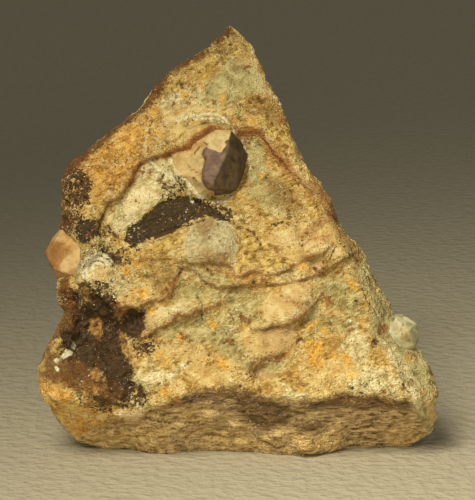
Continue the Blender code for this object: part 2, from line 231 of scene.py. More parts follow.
# %% [markdown]
# ## The rock's mesh
# The frame's rock is a closed shell of a few thousand triangles, right in its main forms but
# plain. Subdividing it would only turn its long triangles into more long triangles. So a copy is
# merged, then remeshed into even small faces, which is how a sculptor in clay would start,
# because carving needs the same fineness all over. A few rounds of smoothing take away the old
# facets before any new detail is cut.

# %% Rock copy
def pick(piece):
    """Deselect everything and make one piece the active one."""
    bpy.ops.object.select_all(action="DESELECT")
    piece.select_set(True)
    bpy.context.view_layer.objects.active = piece


def copy_solid(node, name):
    """A merged copy of a frame solid, under a new name."""
    piece = bpy.data.objects.new(name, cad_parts[node].data.copy())
    bpy.context.scene.collection.objects.link(piece)
    piece.data.materials.clear()
    pick(piece)
    bpy.ops.object.mode_set(mode="EDIT")
    bpy.ops.mesh.select_all(action="SELECT")
    bpy.ops.mesh.remove_doubles(threshold=0.001 * MM)
    bpy.ops.mesh.tris_convert_to_quads()
    bpy.ops.object.mode_set(mode="OBJECT")
    return piece


def smooth(piece, factor, rounds):
    """Apply a Smooth modifier to the whole piece."""
    pick(piece)
    modifier = piece.modifiers.new("smooth", "SMOOTH")
    modifier.factor = factor
    modifier.iterations = rounds
    bpy.ops.object.modifier_apply(modifier=modifier.name)


def read_points(piece, name="co"):
    """Vertex places or normals of a piece as an array, in metres."""
    values = np.empty(len(piece.data.vertices) * 3)
    piece.data.vertices.foreach_get(name, values)
    return values.reshape(-1, 3)


def write_points(piece, points):
    """Put the vertices of a piece at new places."""
    piece.data.vertices.foreach_set("co", points.ravel())
    piece.data.update()


rock = copy_solid("matrix", "rock")
print("rock copy:", len(rock.data.vertices), "vertices,", len(rock.data.polygons), "faces")

# %% [markdown]
# Each crystal sits in a socket with a hair of room all round. On the real rock there is no gap.
# The socket's faces could be pulled in one by one. It is quicker to join a plug to the rock, in
# the crystal's own shape and a little too big for its socket, because the remesh then makes rock
# and plug one skin.

# %% Plugged and remeshed rock
CRYSTAL_NODES = ("main_crystal", "left_crystal", "right_crystal")
PLUG_GROWTH = 0.45 * MM
VOXEL_FIRST = 0.50 * MM
VOXEL_CARVE = 0.36 * MM
SMOOTH_FACTOR, SMOOTH_ROUNDS = 0.5, 6


def grow(piece, amount):
    """Enlarge a crystal about its middle, so that its faces move out by about this much."""
    places = read_points(piece)
    centre = (places.min(axis=0) + places.max(axis=0)) / 2.0
    offset = places - centre
    radius = np.linalg.norm(offset, axis=1).mean()
    write_points(piece, centre + offset * (1.0 + amount / radius))


plugs = [copy_solid(node, node + "_plug") for node in CRYSTAL_NODES]
for plug in plugs:
    grow(plug, PLUG_GROWTH)
pick(rock)
for plug in plugs:
    plug.select_set(True)
bpy.ops.object.join()
rock.data.remesh_voxel_size = VOXEL_FIRST
bpy.ops.object.voxel_remesh()
smooth(rock, SMOOTH_FACTOR, SMOOTH_ROUNDS)
rock.data.remesh_voxel_size = VOXEL_CARVE
bpy.ops.object.voxel_remesh()
print("rock:", len(rock.data.vertices), "vertices")

# %% [markdown]
# ## Ledges
# The front broke in steps along thin veins. A sculptor would cut each step with a brush. A line on
# the plan does the same and can be moved later: the rock above it stands proud, with a worn lip,
# and a narrow groove runs under the lip. Rust from the veins has bled into the same grooves, so
# these lines are used again for the stains.

# %% Ledge lines
LEDGES = {
    "upper_left": [(103, 218), (105, 208), (108, 202), (118, 197), (125, 190), (131, 182),
                   (134, 172), (140, 163), (147, 158), (160, 155), (172, 153), (180, 149),
                   (190, 145), (200, 137), (210, 130), (222, 128), (231, 128)],
    "upper_right": [(237, 133), (248, 132), (258, 131), (262, 137), (270, 146), (275, 155),
                    (282, 161), (288, 170), (297, 176), (303, 182), (310, 190), (318, 197),
                    (325, 205), (333, 215)],
    "dome_foot": [(140, 259), (150, 259), (165, 259), (180, 261), (195, 264), (215, 262),
                  (230, 265), (235, 270), (236, 278), (245, 274), (252, 271), (260, 273),
                  (275, 275), (283, 273), (290, 269), (300, 262), (312, 256)],
    "middle": [(235, 286), (250, 285), (265, 284), (280, 284), (290, 282), (300, 279),
               (312, 276), (322, 271), (332, 267), (340, 262), (348, 257)],
    "left": [(118, 308), (135, 307), (150, 302), (162, 299), (170, 295), (174, 285),
             (178, 275)],
    "low_left": [(143, 338), (152, 333), (160, 327), (170, 322), (178, 316), (190, 315),
                 (200, 309), (210, 307), (220, 304)],
    "lobe_foot": [(270, 327), (282, 325), (295, 320), (305, 312), (312, 305)],
    "hook": [(300, 338), (294, 347), (288, 355), (280, 359), (270, 360), (258, 361),
             (252, 368), (253, 375)],
    "hook_foot": [(253, 376), (262, 378), (275, 374), (290, 373)],
    "lens_foot": [(184, 268), (196, 272), (208, 283), (220, 288), (235, 285)],
}
print("ledges:", len(LEDGES), "points:", sum(len(line) for line in LEDGES.values()))


# %% Distances on the plan
def along(lines):
    """The straight pieces of several lines, as start and end points."""
    pairs = [pair for line in lines for pair in zip(line[:-1], line[1:])]
    starts = np.array([pair[0] for pair in pairs], float)
    return starts, np.array([pair[1] for pair in pairs], float)


def line_distance(plan, lines):
    """Distance to the nearest of the lines in millimetres, positive on the side above it."""
    best = np.full(len(plan), 1e9)
    side = np.ones(len(plan))
    for start, end in zip(*along(lines)):
        step = end - start
        offset = plan - start
        share = np.clip(offset @ step / (step @ step), 0.0, 1.0)
        gap = np.linalg.norm(offset - share[:, None] * step, axis=1)
        nearer = gap < best
        best = np.where(nearer, gap, best)
        cross = step[0] * offset[:, 1] - step[1] * offset[:, 0]
        side = np.where(nearer, np.where(cross > 0.0, -1.0, 1.0), side)
    return best * side * UNIT_MM


def patch_distance(plan, outline):
    """Distance inside a closed outline in millimetres, negative outside it."""
    closed = [*outline, outline[0]]
    edge = np.abs(line_distance(plan, [closed]))
    inside = np.zeros(len(plan), bool)
    x, y = plan[:, 0], plan[:, 1]
    for (x0, y0), (x1, y1) in zip(closed[:-1], closed[1:]):
        if y0 == y1:
            continue
        crosses = (y0 > y) != (y1 > y)
        inside ^= crosses & (x < (x1 - x0) * (y - y0) / (y1 - y0) + x0)
    return np.where(inside, edge, -edge)


plan_middle = np.array([[PLAN_WIDTH / 2, PLAN_HEIGHT / 2]])
print("the plan's middle is", round(abs(float(line_distance(plan_middle, LEDGES.values())[0])), 1),
      "mm from the nearest ledge")

# %% [markdown]
# ## Stains, by family
# Iron, manganese and clay have coloured the rock in families: rust along veins, dark clay, black
# manganese crusts, orange limonite, pale feldspar, green-grey altered ground, peach feldspar and
# brown weathered skin. They could be painted on an image, but a painted image has one fixed
# fineness. Here each family is a set of patches, which are closed outlines, and of spots and
# lines on the plan. Later the mesh stores how deep inside each family every point lies, and the
# material gives each family its colours and its ragged edge.

# %% Pale feldspar
PATCHES = {}
PATCHES["pale"] = {
    "left_field": [(112, 214), (122, 200), (134, 185), (138, 172), (148, 160), (165, 158),
                   (180, 156), (188, 170), (188, 188), (170, 196), (152, 207), (140, 218),
                   (124, 236), (112, 232)],
    "strip_vein": [(386, 344), (394, 346), (404, 362), (412, 380), (420, 400), (424, 416),
                   (416, 410), (408, 392), (400, 374), (390, 358)],
    "upper_field": [(166, 96), (184, 90), (200, 92), (206, 104), (198, 112), (180, 116),
                    (164, 114), (158, 104)],
    "swirl": [(82, 270), (86, 260), (95, 253), (106, 255), (112, 264), (108, 276), (98, 284),
              (88, 282)],
    "swirl_field": [(96, 284), (112, 268), (126, 282), (124, 296), (112, 300), (98, 296)],
    "left_shelf": [(146, 326), (148, 314), (160, 308), (176, 304), (190, 302), (188, 312),
                   (174, 316), (162, 324), (152, 332)],
    "low_white_right": [(345, 340), (356, 330), (366, 340), (370, 352), (362, 362), (350, 356),
                        (342, 350)],
    "low_white_left": [(134, 374), (150, 368), (170, 372), (184, 362), (190, 366), (176, 378),
                       (158, 384), (140, 388)],
    "bumps": [(350, 372), (366, 364), (384, 370), (400, 378), (402, 394), (384, 396),
              (364, 394), (348, 390)],
    "left_facet": [(48, 262), (56, 272), (62, 284), (63, 296), (60, 302), (52, 302), (44, 274)],
    "scoop": [(300, 436), (312, 438), (326, 432), (340, 428), (346, 434), (336, 446),
              (318, 450), (304, 446)],
    "foot_white": [(276, 394), (296, 388), (312, 394), (300, 402), (284, 400)],
}
print("pale patches:", len(PATCHES["pale"]))

# %% Green and sage ground
# Hot water has turned the lava to grey-green clay here: mottled green, and calmer sage.
PATCHES["green"] = {
    "diagonal": [(150, 336), (178, 322), (206, 312), (224, 320), (238, 338), (246, 356),
                 (238, 362), (216, 350), (196, 342), (176, 340)],
    "middle": [(160, 282), (182, 276), (204, 284), (220, 292), (236, 292), (250, 300),
               (236, 304), (206, 300), (184, 300), (168, 298)],
    "hook_fill": [(254, 366), (264, 362), (278, 361), (288, 358), (290, 368), (276, 374),
                  (262, 377), (255, 374)],
    "right_field": [(318, 280), (344, 274), (360, 290), (366, 312), (352, 320), (334, 308),
                    (320, 296)],
    "above_crystal": [(200, 119), (214, 117), (226, 119), (231, 128), (222, 127), (208, 127)],
    "left_of_dome": [(250, 170), (262, 168), (276, 178), (290, 200), (284, 214), (264, 208),
                     (248, 196)],
    "under_dome": [(244, 290), (262, 288), (262, 304), (250, 318), (238, 308)],
    "low": [(310, 312), (334, 316), (356, 324), (350, 334), (326, 330), (306, 326)],
    "lens": [(186, 264), (204, 266), (220, 276), (236, 280), (230, 286), (214, 284),
             (200, 278)],
}

PATCHES["sage"] = {
    "crystal_right": [(246, 140), (256, 140), (264, 148), (268, 160), (262, 172), (256, 182),
                      (250, 178), (252, 160)],
    "right_shoulder": [(226, 64), (240, 58), (254, 66), (264, 80), (268, 90), (256, 94),
                       (244, 98), (232, 104), (216, 104), (204, 96), (206, 84), (214, 76)],
    "right_low": [(402, 350), (422, 348), (432, 362), (434, 378), (424, 386), (410, 374)],
}
print("green and sage patches:", [len(PATCHES[name]) for name in ("green", "sage")])

# %% Dome and right strip
# A smooth feldspar lump in the middle, and the layered side along the right edge.
PATCHES["dome"] = {
    "dome": [(184, 240), (190, 228), (200, 219), (216, 216), (229, 222), (236, 236),
             (238, 250), (234, 260), (215, 259), (195, 261), (186, 254)],
}

PATCHES["strip"] = {
    "right_strip": [(300, 178), (311, 190), (325, 215), (330, 228), (340, 240), (348, 256),
                    (355, 268), (362, 285), (368, 300), (370, 320), (372, 335), (378, 345),
                    (392, 352), (400, 372), (405, 390), (411, 400), (414, 412), (424, 428),
                    (430, 444), (446, 424), (436, 380), (424, 340), (396, 310), (372, 262),
                    (344, 222), (320, 186)],
}
print("dome and strip outlines:", [len(PATCHES[name]) for name in ("dome", "strip")])

# %% Ochre, honey, amber and gold
# Iron hydroxides have soaked in here, from brown ochre to clear yellow. The amber on the lower
# left lobe and the honey on its side are also painted light: brighter than the ochre there,
# because the lobe turns down, away from the lamp.
PATCHES["ochre"] = {
    "left_plate": [(62, 168), (84, 152), (108, 136), (124, 140), (144, 144), (156, 142),
                   (150, 154), (140, 158), (128, 180), (112, 194), (98, 204), (92, 186),
                   (78, 170)],
}

PATCHES["honey"] = {
    "plate_top": [(112, 134), (132, 118), (152, 106), (160, 116), (160, 132), (146, 146),
                  (124, 148), (112, 144)],
    "lobe_side": [(40, 378), (52, 384), (66, 392), (82, 400), (64, 405), (46, 402)],
    "hollow_strand": [(108, 300), (116, 306), (120, 312), (112, 314)],
}

PATCHES["amber"] = {
    "low_left_lobe": [(48, 402), (66, 404), (84, 402), (100, 404), (114, 410), (116, 418),
                      (100, 422), (86, 430), (80, 440), (66, 432), (54, 414)],
}

PATCHES["gold"] = {
    "apex_left": [(204, 46), (228, 30), (240, 52), (232, 68), (206, 76), (180, 88), (156, 100),
                  (160, 84), (184, 58)],
    "right_shoulder_low": [(250, 102), (272, 104), (286, 122), (294, 142), (284, 148),
                           (268, 132), (252, 126), (244, 114)],
    "below_wedge": [(136, 250), (160, 240), (184, 234), (186, 252), (170, 258), (146, 258)],
    "mid_right": [(240, 244), (262, 242), (284, 254), (292, 262), (276, 268), (256, 266),
                  (240, 262)],
}
print("yellow patches:", [len(PATCHES[name]) for name in ("ochre", "honey", "amber", "gold")])

# %% Cream, peach and washes
# Clean feldspar shows in cream chips and peach shards, and a thin warm wash lies round them.
PATCHES["cream"] = {
    "corner": [(117, 414), (127, 405), (142, 404), (147, 412), (140, 423), (125, 424)],
    "field": [(124, 206), (132, 192), (144, 188), (146, 200), (134, 214), (126, 216)],
    "low": [(140, 374), (152, 369), (166, 374), (160, 382), (146, 384)],
}

PATCHES["peach"] = {
    "lobe_top": [(286, 284), (298, 280), (308, 284), (312, 294), (304, 304), (290, 302),
                 (280, 294)],
    "lobe": [(262, 304), (272, 290), (284, 300), (302, 304), (306, 312), (294, 320),
             (276, 326), (264, 318)],
    "shard_a": [(302, 243), (312, 238), (322, 241), (330, 246), (323, 254), (312, 257),
                (304, 251)],
    "shard_b": [(328, 246), (336, 247), (342, 252), (336, 258), (327, 259), (325, 253)],
    "shard_c": [(278, 241), (284, 231), (293, 227), (298, 232), (297, 242), (287, 247)],
    "cream_round": [(297, 262), (304, 262), (308, 267), (303, 271), (298, 268)],
}

PATCHES["wash"] = {
    "swirl_low": [(96, 264), (110, 262), (114, 276), (104, 284), (94, 280)],
    "recess": [(184, 142), (187, 128), (196, 122), (208, 125), (224, 126), (210, 130),
               (200, 135), (190, 143)],
    # The strip's foot is painted light: paler here, where the edge turns away from the lamp.
    "strip_foot": [(424, 400), (438, 394), (442, 414), (430, 424)],
    "right_low": [(300, 362), (320, 356), (346, 362), (356, 372), (340, 384), (310, 390),
                  (290, 384)],
    "centre_low": [(150, 344), (190, 344), (230, 360), (250, 374), (240, 386), (200, 388),
                   (180, 378), (192, 362), (160, 360)],
    "shard_field": [(264, 238), (280, 227), (300, 223), (328, 215), (340, 234), (344, 250),
                    (328, 262), (300, 261), (284, 255), (268, 250)],
    "left_shelf_end": [(146, 322), (150, 314), (164, 316), (158, 324), (148, 330)],
    "centre_wash": [(240, 330), (262, 326), (286, 330), (292, 342), (276, 354), (252, 356),
                    (240, 344)],
    "right_edge": [(236, 40), (244, 48), (256, 60), (264, 74), (272, 92), (262, 92),
                   (252, 72), (240, 56)],
    "crystal_left": [(160, 116), (180, 104), (200, 104), (202, 114), (186, 122), (178, 134),
                     (166, 142), (156, 130)],
}
print("cream and peach patches:", [len(PATCHES[name]) for name in ("cream", "peach", "wash")])

# %% Blush, tan and shade
# Browner feldspar, tan crusts, and soft brown shade: partly the rock's own browner tone, partly
# painted shade in folds and hollows.
PATCHES["blush"] = {
    "under_lobe": [(264, 329), (280, 325), (295, 327), (299, 336), (290, 348), (280, 356),
                   (266, 357), (260, 345)],
    "shard_mid": [(312, 256), (322, 254), (330, 260), (322, 268), (312, 270)],
    "shelf_low": [(140, 332), (150, 326), (154, 332), (146, 340)],
}

PATCHES["tan"] = {
    "tan_strip": [(299, 236), (304, 228), (314, 221), (326, 217), (331, 222), (322, 229),
                  (311, 235), (303, 240)],
    "rim_bump": [(310, 180), (318, 180), (326, 186), (334, 200), (342, 216), (344, 224),
                 (334, 218), (324, 204), (314, 192)],
    "strip_stain": [(404, 354), (411, 352), (415, 359), (412, 367), (406, 364)],
}

PATCHES["shade"] = {
    "hook": [(248, 366), (256, 360), (270, 358), (266, 366), (256, 376), (249, 376)],
    "middle_left": [(150, 268), (168, 266), (180, 276), (176, 292), (162, 296), (152, 284)],
    "strip_top": [(326, 206), (340, 222), (356, 244), (366, 262), (358, 266), (342, 242),
                  (330, 222)],
    "dome_head": [(192, 226), (201, 219), (212, 217), (216, 226), (212, 238), (204, 244),
                  (198, 236)],
    "dome_foot": [(198, 257), (210, 252), (226, 251), (234, 256), (226, 262), (206, 263)],
    "lobe_fold": [(288, 300), (296, 302), (304, 304), (300, 309), (292, 306)],
    "shard_fold": [(300, 252), (308, 257), (320, 259), (312, 264), (300, 260)],
    "shard_head": [(294, 226), (300, 230), (299, 242), (294, 238)],
    "right_field": [(270, 178), (286, 184), (298, 196), (306, 210), (292, 212), (278, 200),
                    (266, 190)],
    "shoulder_foot": [(250, 98), (266, 96), (278, 106), (286, 122), (272, 122), (256, 112)],
}
print("brown patches:", [len(PATCHES[name]) for name in ("blush", "tan", "shade")])

# %% Dark clay and umber
# A wedge and a strip of nearly black clay, and the umber smudges round the hollow.
PATCHES["clay"] = {
    "left_band": [(78, 228), (80, 221), (92, 219), (104, 221), (100, 232), (92, 240),
                  (82, 246), (76, 240)],
    "wedge": [(123, 240), (128, 228), (140, 220), (152, 208), (165, 200), (180, 195),
              (190, 197), (198, 198), (210, 205), (222, 213), (236, 226), (222, 220),
              (205, 216), (190, 220), (178, 228), (165, 235), (150, 240), (137, 242),
              (136, 250), (129, 246)],
}

PATCHES["umber"] = {
    "hollow_high": [(66, 298), (78, 302), (84, 310), (80, 324), (74, 334), (68, 322)],
    "band_top": [(204, 389), (226, 387), (262, 394), (262, 398), (230, 393), (206, 392)],
    "band_top_right": [(326, 399), (344, 391), (354, 398), (404, 399), (408, 403),
                       (360, 403), (336, 402)],
    "smudge": [(207, 52), (216, 49), (231, 49), (233, 53), (220, 55)],
    "hollow_left": [(90, 320), (96, 315), (103, 322), (103, 335), (96, 341), (89, 333)],
    "hollow_low": [(62, 366), (76, 362), (90, 368), (92, 378), (82, 384), (66, 378)],
    "hollow_foot": [(96, 392), (108, 386), (122, 388), (126, 396), (114, 402), (100, 402)],
    "hollow_head": [(113, 304), (121, 308), (122, 314), (115, 316)],
    "left_wall": [(62, 288), (70, 292), (72, 306), (68, 318), (62, 312)],
}
print("clay and umber patches:", [len(PATCHES[name]) for name in ("clay", "umber")])

# %% Manganese black
# Black crusts fill the hollow at the lower left. Mottle is where they break into specks.
PATCHES["black"] = {
    "block": [(120, 314), (132, 310), (146, 309), (145, 322), (142, 337), (128, 338),
              (116, 332)],
    "hollow": [(70, 290), (85, 296), (105, 293), (116, 300), (122, 312), (120, 330),
               (128, 342), (122, 350), (130, 366), (136, 385), (130, 402), (120, 404),
               (108, 392), (104, 376), (92, 366), (74, 356), (62, 348), (60, 334),
               (72, 318), (66, 300)],
    "hollow_blot": [(96, 350), (112, 344), (126, 356), (134, 372), (134, 386), (120, 384),
                    (104, 372), (92, 362)],
    "under_swirl": [(110, 256), (118, 252), (124, 258), (120, 266), (112, 264)],
}

PATCHES["mottle"] = {
    "cluster": [(62, 176), (72, 168), (84, 176), (90, 184), (86, 200), (78, 206), (66, 202)],
    "cluster_right": [(104, 222), (112, 228), (120, 240), (112, 244), (102, 240), (98, 232)],
    "wedge_head": [(160, 188), (172, 180), (181, 181), (184, 190), (172, 196), (162, 198)],
    "under_wedge": [(92, 247), (112, 245), (126, 250), (128, 262), (112, 260), (100, 252)],
    "hollow_top": [(76, 284), (92, 282), (108, 286), (116, 294), (118, 304), (100, 298),
                   (84, 296)],
    "hollow_edge": [(60, 330), (72, 350), (92, 362), (104, 376), (98, 384), (84, 372),
                    (64, 360), (56, 346)],
    "hollow_foot": [(110, 384), (128, 376), (142, 388), (146, 402), (132, 412), (114, 406)],
    "block_foot": [(132, 336), (148, 336), (158, 344), (146, 352), (134, 350)],
    "crystal_foot": [(196, 188), (206, 196), (222, 206), (236, 212), (232, 222), (218, 214),
                     (204, 208), (192, 200)],
    "crystal_speck": [(174, 178), (182, 176), (188, 182), (186, 190), (178, 186)],
    "right_bump": [(334, 206), (342, 212), (346, 224), (338, 222)],
}
print("black patches:", [len(PATCHES[name]) for name in ("black", "mottle")])

# %% Tawny, speckle and brown skin
# Bare tawny rock inside the crusts, fine black speckle, and the brown weathered skin.
PATCHES["tawny"] = {
    "hollow_spot": [(91, 371), (96, 368), (100, 372), (98, 380), (93, 379)],
    "hollow_foot": [(96, 384), (100, 388), (98, 395), (94, 394), (92, 387)],
    "hollow_heart": [(90, 321), (96, 316), (102, 323), (103, 334), (97, 339), (90, 332)],
    "hollow_rim": [(112, 308), (120, 309), (126, 314), (122, 320), (115, 317)],
    "hollow_edge": [(118, 330), (122, 332), (126, 344), (134, 362), (130, 362), (121, 346)],
    "hollow_head": [(82, 288), (88, 292), (92, 302), (86, 300)],
    "lobe": [(80, 397), (92, 398), (97, 405), (84, 408)],
}

PATCHES["speckle"] = {
    "cluster": [(62, 172), (73, 165), (86, 174), (92, 184), (89, 203), (80, 210), (66, 206),
                (60, 190)],
    "cluster_low": [(66, 210), (78, 211), (84, 220), (78, 236), (70, 236), (64, 226)],
    "chips": [(136, 356), (142, 348), (152, 342), (156, 347), (147, 354), (138, 358)],
    "chip_low": [(134, 395), (140, 388), (149, 395), (142, 398)],
    "lobe": [(78, 396), (96, 396), (112, 402), (112, 412), (96, 410), (80, 404)],
}

PATCHES["brown"] = {
    "left_edge": [(63, 284), (66, 279), (71, 288), (73, 304), (76, 320), (64, 334), (54, 340),
                  (48, 352), (38, 372), (40, 356), (52, 330), (60, 316), (62, 300)],
    "lobe_shade": [(48, 352), (70, 356), (96, 366), (108, 384), (116, 402), (104, 410),
                   (88, 396), (64, 388), (44, 378)],
    "right_bump": [(331, 205), (338, 207), (345, 220), (338, 225), (332, 216)],
    "apex": [(221, 36), (229, 25), (237, 34), (234, 38), (228, 36), (224, 41)],
    "rim_patch": [(176, 63), (188, 56), (202, 49), (206, 54), (196, 62), (186, 67),
                  (176, 70)],
    "rim_patch_low": [(150, 90), (158, 78), (164, 72), (168, 78), (162, 90), (154, 98)],
    "band_left_edge": [(62, 208), (72, 212), (74, 226), (66, 240), (60, 230)],
}
print("tawny to brown patches:", [len(PATCHES[name]) for name in ("tawny", "speckle", "brown")])

# %% The band at the foot
# Under the front's lower edge the rock is cut back in a finely layered band.
PATCHES["band"] = {
    "band": [(78, 440), (84, 430), (95, 424), (110, 423), (130, 424), (140, 420), (148, 412),
             (160, 409), (175, 404), (183, 397), (195, 392), (220, 390), (245, 391),
             (260, 396), (280, 400), (300, 403), (315, 402), (330, 397), (345, 394),
             (360, 398), (380, 399), (400, 400), (410, 402), (413, 410), (420, 420),
             (428, 432), (426, 452), (380, 456), (325, 464), (220, 460), (140, 460),
             (100, 450)],
}

PATCHES["band_gold"] = {
    "corner": [(84, 436), (94, 427), (130, 427), (150, 424), (140, 440), (110, 446)],
    "scoop": [(286, 438), (296, 432), (308, 437), (322, 436), (332, 428), (338, 420),
              (346, 430), (338, 444), (320, 450), (300, 447)],
    "left": [(90, 432), (120, 428), (150, 424), (172, 426), (168, 446), (130, 452),
             (104, 444)],
    "left_top": [(168, 412), (184, 404), (204, 404), (222, 412), (200, 420), (176, 420)],
    "right": [(384, 430), (404, 424), (424, 438), (416, 452), (390, 450)],
    "middle": [(190, 428), (220, 430), (250, 438), (276, 440), (270, 450), (220, 448)],
}

PATCHES["band_dark"] = {
    "left": [(172, 402), (190, 394), (214, 390), (238, 392), (240, 400), (214, 402),
             (190, 405)],
    "middle": [(236, 396), (262, 398), (290, 404), (296, 414), (286, 426), (262, 430),
               (244, 420), (232, 406)],
    "right": [(300, 404), (330, 397), (360, 399), (404, 402), (412, 407), (406, 411),
              (370, 407), (340, 408), (310, 410)],
    "scoop_heart": [(298, 424), (312, 421), (324, 426), (316, 433), (302, 432)],
}
print("band outlines:", [len(PATCHES[name]) for name in ("band", "band_gold", "band_dark")])

# %% Limonite and rusty spots
# Each spot has its place on the plan and its radius, in plan units.
SPOTS = {}
SPOTS["limonite"] = [
    (311, 345, 6.0), (318, 347, 6.0), (315, 354, 6.0), (315, 361, 6.0), (320, 364, 3.5),
    (346, 359, 5.5), (349, 364, 3.5), (312, 325, 4.0), (309, 330, 2.6), (318, 322, 2.4),
    (214, 325, 4.0), (209, 321, 2.4), (165, 391, 5.0), (163, 387, 3.0), (144, 292, 5.0),
    (143, 296, 3.6), (180, 338, 3.0), (302, 266, 4.0), (152, 310, 3.0), (224, 97, 2.6),
    (223, 101, 2.2), (200, 85, 2.6), (206, 76, 2.0), (186, 96, 3.2), (182, 92, 2.6),
    (126, 270, 4.0), (134, 264, 3.5), (103, 152, 3.6), (98, 174, 3.0), (157, 356, 3.4),
    (165, 364, 2.6), (168, 358, 2.2), (222, 364, 3.4), (228, 366, 2.4), (206, 360, 2.4),
    (296, 374, 3.0), (334, 356, 3.0), (96, 142, 3.0), (262, 176, 3.0), (156, 110, 3.0),
    (160, 135, 3.0), (352, 284, 3.4), (346, 280, 3.0), (354, 289, 2.4), (134, 290, 3.0),
    (84, 300, 2.5), (98, 322, 4.6), (92, 330, 4.6), (100, 334, 4.0), (86, 388, 5.0),
    (66, 398, 5.0), (110, 384, 3.0), (238, 194, 2.4), (222, 208, 2.4), (198, 250, 2.0),
    (325, 330, 2.6), (352, 376, 2.4), (300, 388, 2.4), (252, 122, 3.0), (256, 130, 3.4),
]

SPOTS["rusty_spot"] = [
    (243, 319, 4.0), (249, 320, 3.6), (184, 338, 4.0), (190, 341, 3.4), (181, 335, 2.8),
    (170, 341, 2.2), (228, 340, 3.0), (233, 343, 2.4), (224, 343, 1.8), (210, 362, 2.4),
    (214, 361, 2.0), (190, 363, 2.2), (262, 280, 3.0), (268, 282, 2.6), (254, 282, 2.4),
    (328, 298, 3.0), (322, 296, 2.4), (332, 303, 2.2), (278, 250, 3.4), (270, 246, 2.6),
    (262, 248, 2.2), (284, 262, 2.6), (246, 252, 1.8), (112, 189, 3.0), (110, 185, 2.0),
    (142, 90, 2.2), (180, 84, 2.4), (181, 87, 2.0), (231, 81, 2.2), (176, 97, 2.0),
    (174, 103, 2.6), (190, 104, 2.0), (213, 102, 2.6), (166, 96, 1.8), (248, 67, 2.4),
    (244, 68, 2.0), (260, 99, 2.6), (261, 102, 2.2), (238, 118, 1.8), (250, 104, 2.6),
    (285, 120, 2.0), (278, 138, 2.6), (284, 146, 3.0), (272, 126, 2.2), (160, 180, 2.4),
    (150, 172, 2.2), (138, 168, 3.0), (142, 172, 2.4), (166, 291, 3.2), (172, 286, 3.4),
    (176, 280, 2.4), (170, 295, 2.6), (350, 330, 2.2), (330, 324, 2.2), (384, 328, 3.4),
    (380, 332, 2.4), (384, 392, 3.0), (388, 389, 2.4), (323, 268, 2.6), (329, 266, 2.0),
    (142, 320, 3.0), (150, 336, 2.6), (106, 294, 3.0), (92, 294, 2.6), (86, 312, 2.0),
    (410, 383, 2.0), (404, 388, 2.0), (122, 420, 2.6), (110, 425, 2.2), (246, 390, 2.6),
    (270, 232, 2.2), (298, 222, 2.4), (236, 214, 2.6), (252, 206, 2.0), (262, 214, 2.2),
    (276, 204, 2.0), (288, 210, 2.4), (244, 222, 2.4), (300, 204, 2.2), (290, 190, 1.8),
]
print("limonite and rusty spots:", len(SPOTS["limonite"]), len(SPOTS["rusty_spot"]))

# %% Dark and white spots
# Dark spots are open pits, and white spots are chips of clean feldspar.
SPOTS["dark_spot"] = [
    (355, 301, 2.2), (346, 295, 1.4), (376, 342, 3.2), (247, 110, 1.3), (260, 98, 1.8),
    (262, 102, 1.6), (181, 85, 1.6), (266, 178, 1.6), (253, 281, 2.0), (276, 225, 2.2),
    (290, 217, 1.8), (302, 246, 1.4), (297, 184, 1.6), (103, 218, 3.0), (285, 194, 1.4),
    (201, 302, 1.6), (207, 270, 2.0), (200, 72, 1.2), (231, 44, 1.4), (250, 74, 1.2),
    (330, 330, 1.3), (318, 372, 1.4), (176, 364, 1.3), (140, 250, 1.8), (404, 384, 1.8),
    (372, 390, 1.6), (352, 388, 2.2), (360, 394, 2.0), (336, 394, 1.6), (144, 394, 2.0),
    (206, 388, 1.8), (222, 386, 1.4), (240, 386, 1.4), (260, 390, 1.6),
]

SPOTS["white"] = [
    (68, 353, 4.2), (64, 357, 2.6), (57, 361, 3.2), (57, 369, 1.8), (74, 346, 2.2),
    (275, 98, 2.0), (272, 93, 1.6), (279, 105, 1.4),
    (284, 383, 2.0), (232, 380, 1.8), (350, 322, 1.6), (150, 377, 3.4), (171, 375, 2.4),
    (182, 366, 2.2),
]
print("dark and white spots:", len(SPOTS["dark_spot"]), len(SPOTS["white"]))

# %% Cracks and lips
# Each vein has its half-width in millimetres and its line on the plan.
VEINS = {}
VEINS["crack"] = {
    "dome_right": (0.14, [(236, 228), (246, 230), (254, 233), (259, 240), (262, 246)]),
    "shard_end": (0.16, [(322, 262), (330, 262), (331, 254), (336, 246)]),
    "middle": (0.10, [(196, 296), (201, 302), (202, 320)]),
    "ledge_end": (0.14, [(314, 268), (322, 272)]),
    "wedge_foot": (0.22, [(160, 233), (172, 227), (190, 224), (204, 219)]),
    "above_shards": (0.13, [(270, 226), (282, 222), (294, 226)]),
    "field": (0.12, [(158, 182), (163, 178), (164, 172)]),
    "low_left": (0.12, [(138, 396), (145, 398)]),
    "low": (0.08, [(186, 366), (192, 361)]),
    "hook": (0.10, [(296, 344), (300, 338), (303, 341)]),
    "hook_foot": (0.08, [(270, 362), (280, 362)]),
    "strip_side": (0.07, [(363, 288), (368, 300), (370, 310)]),
    "strip_high": (0.05, [(342, 244), (352, 258)]),
    "left_lip": (0.12, [(99, 222), (104, 214), (106, 208)]),
}

VEINS["lip"] = {
    "crystal": (0.52, [(164, 156), (174, 153), (184, 149), (194, 142), (201, 136),
                       (208, 131), (217, 129), (228, 128)]),
    "right": (0.60, [(238, 134), (250, 132), (259, 132)]),
    "right_low": (0.50, [(262, 138), (272, 150), (280, 160), (290, 170)]),
    "left": (0.55, [(141, 163), (136, 168), (133, 178), (129, 186)]),
    "shard_top": (0.14, [(301, 237), (310, 229), (324, 220)]),
    "shard_high": (0.12, [(303, 246), (310, 241), (318, 237), (328, 236)]),
    "shard_middle": (0.10, [(307, 252), (316, 247), (324, 241)]),
    "shard_low": (0.14, [(311, 258), (320, 254), (328, 248), (334, 243)]),
}
print("cracks and lips:", len(VEINS["crack"]), len(VEINS["lip"]))

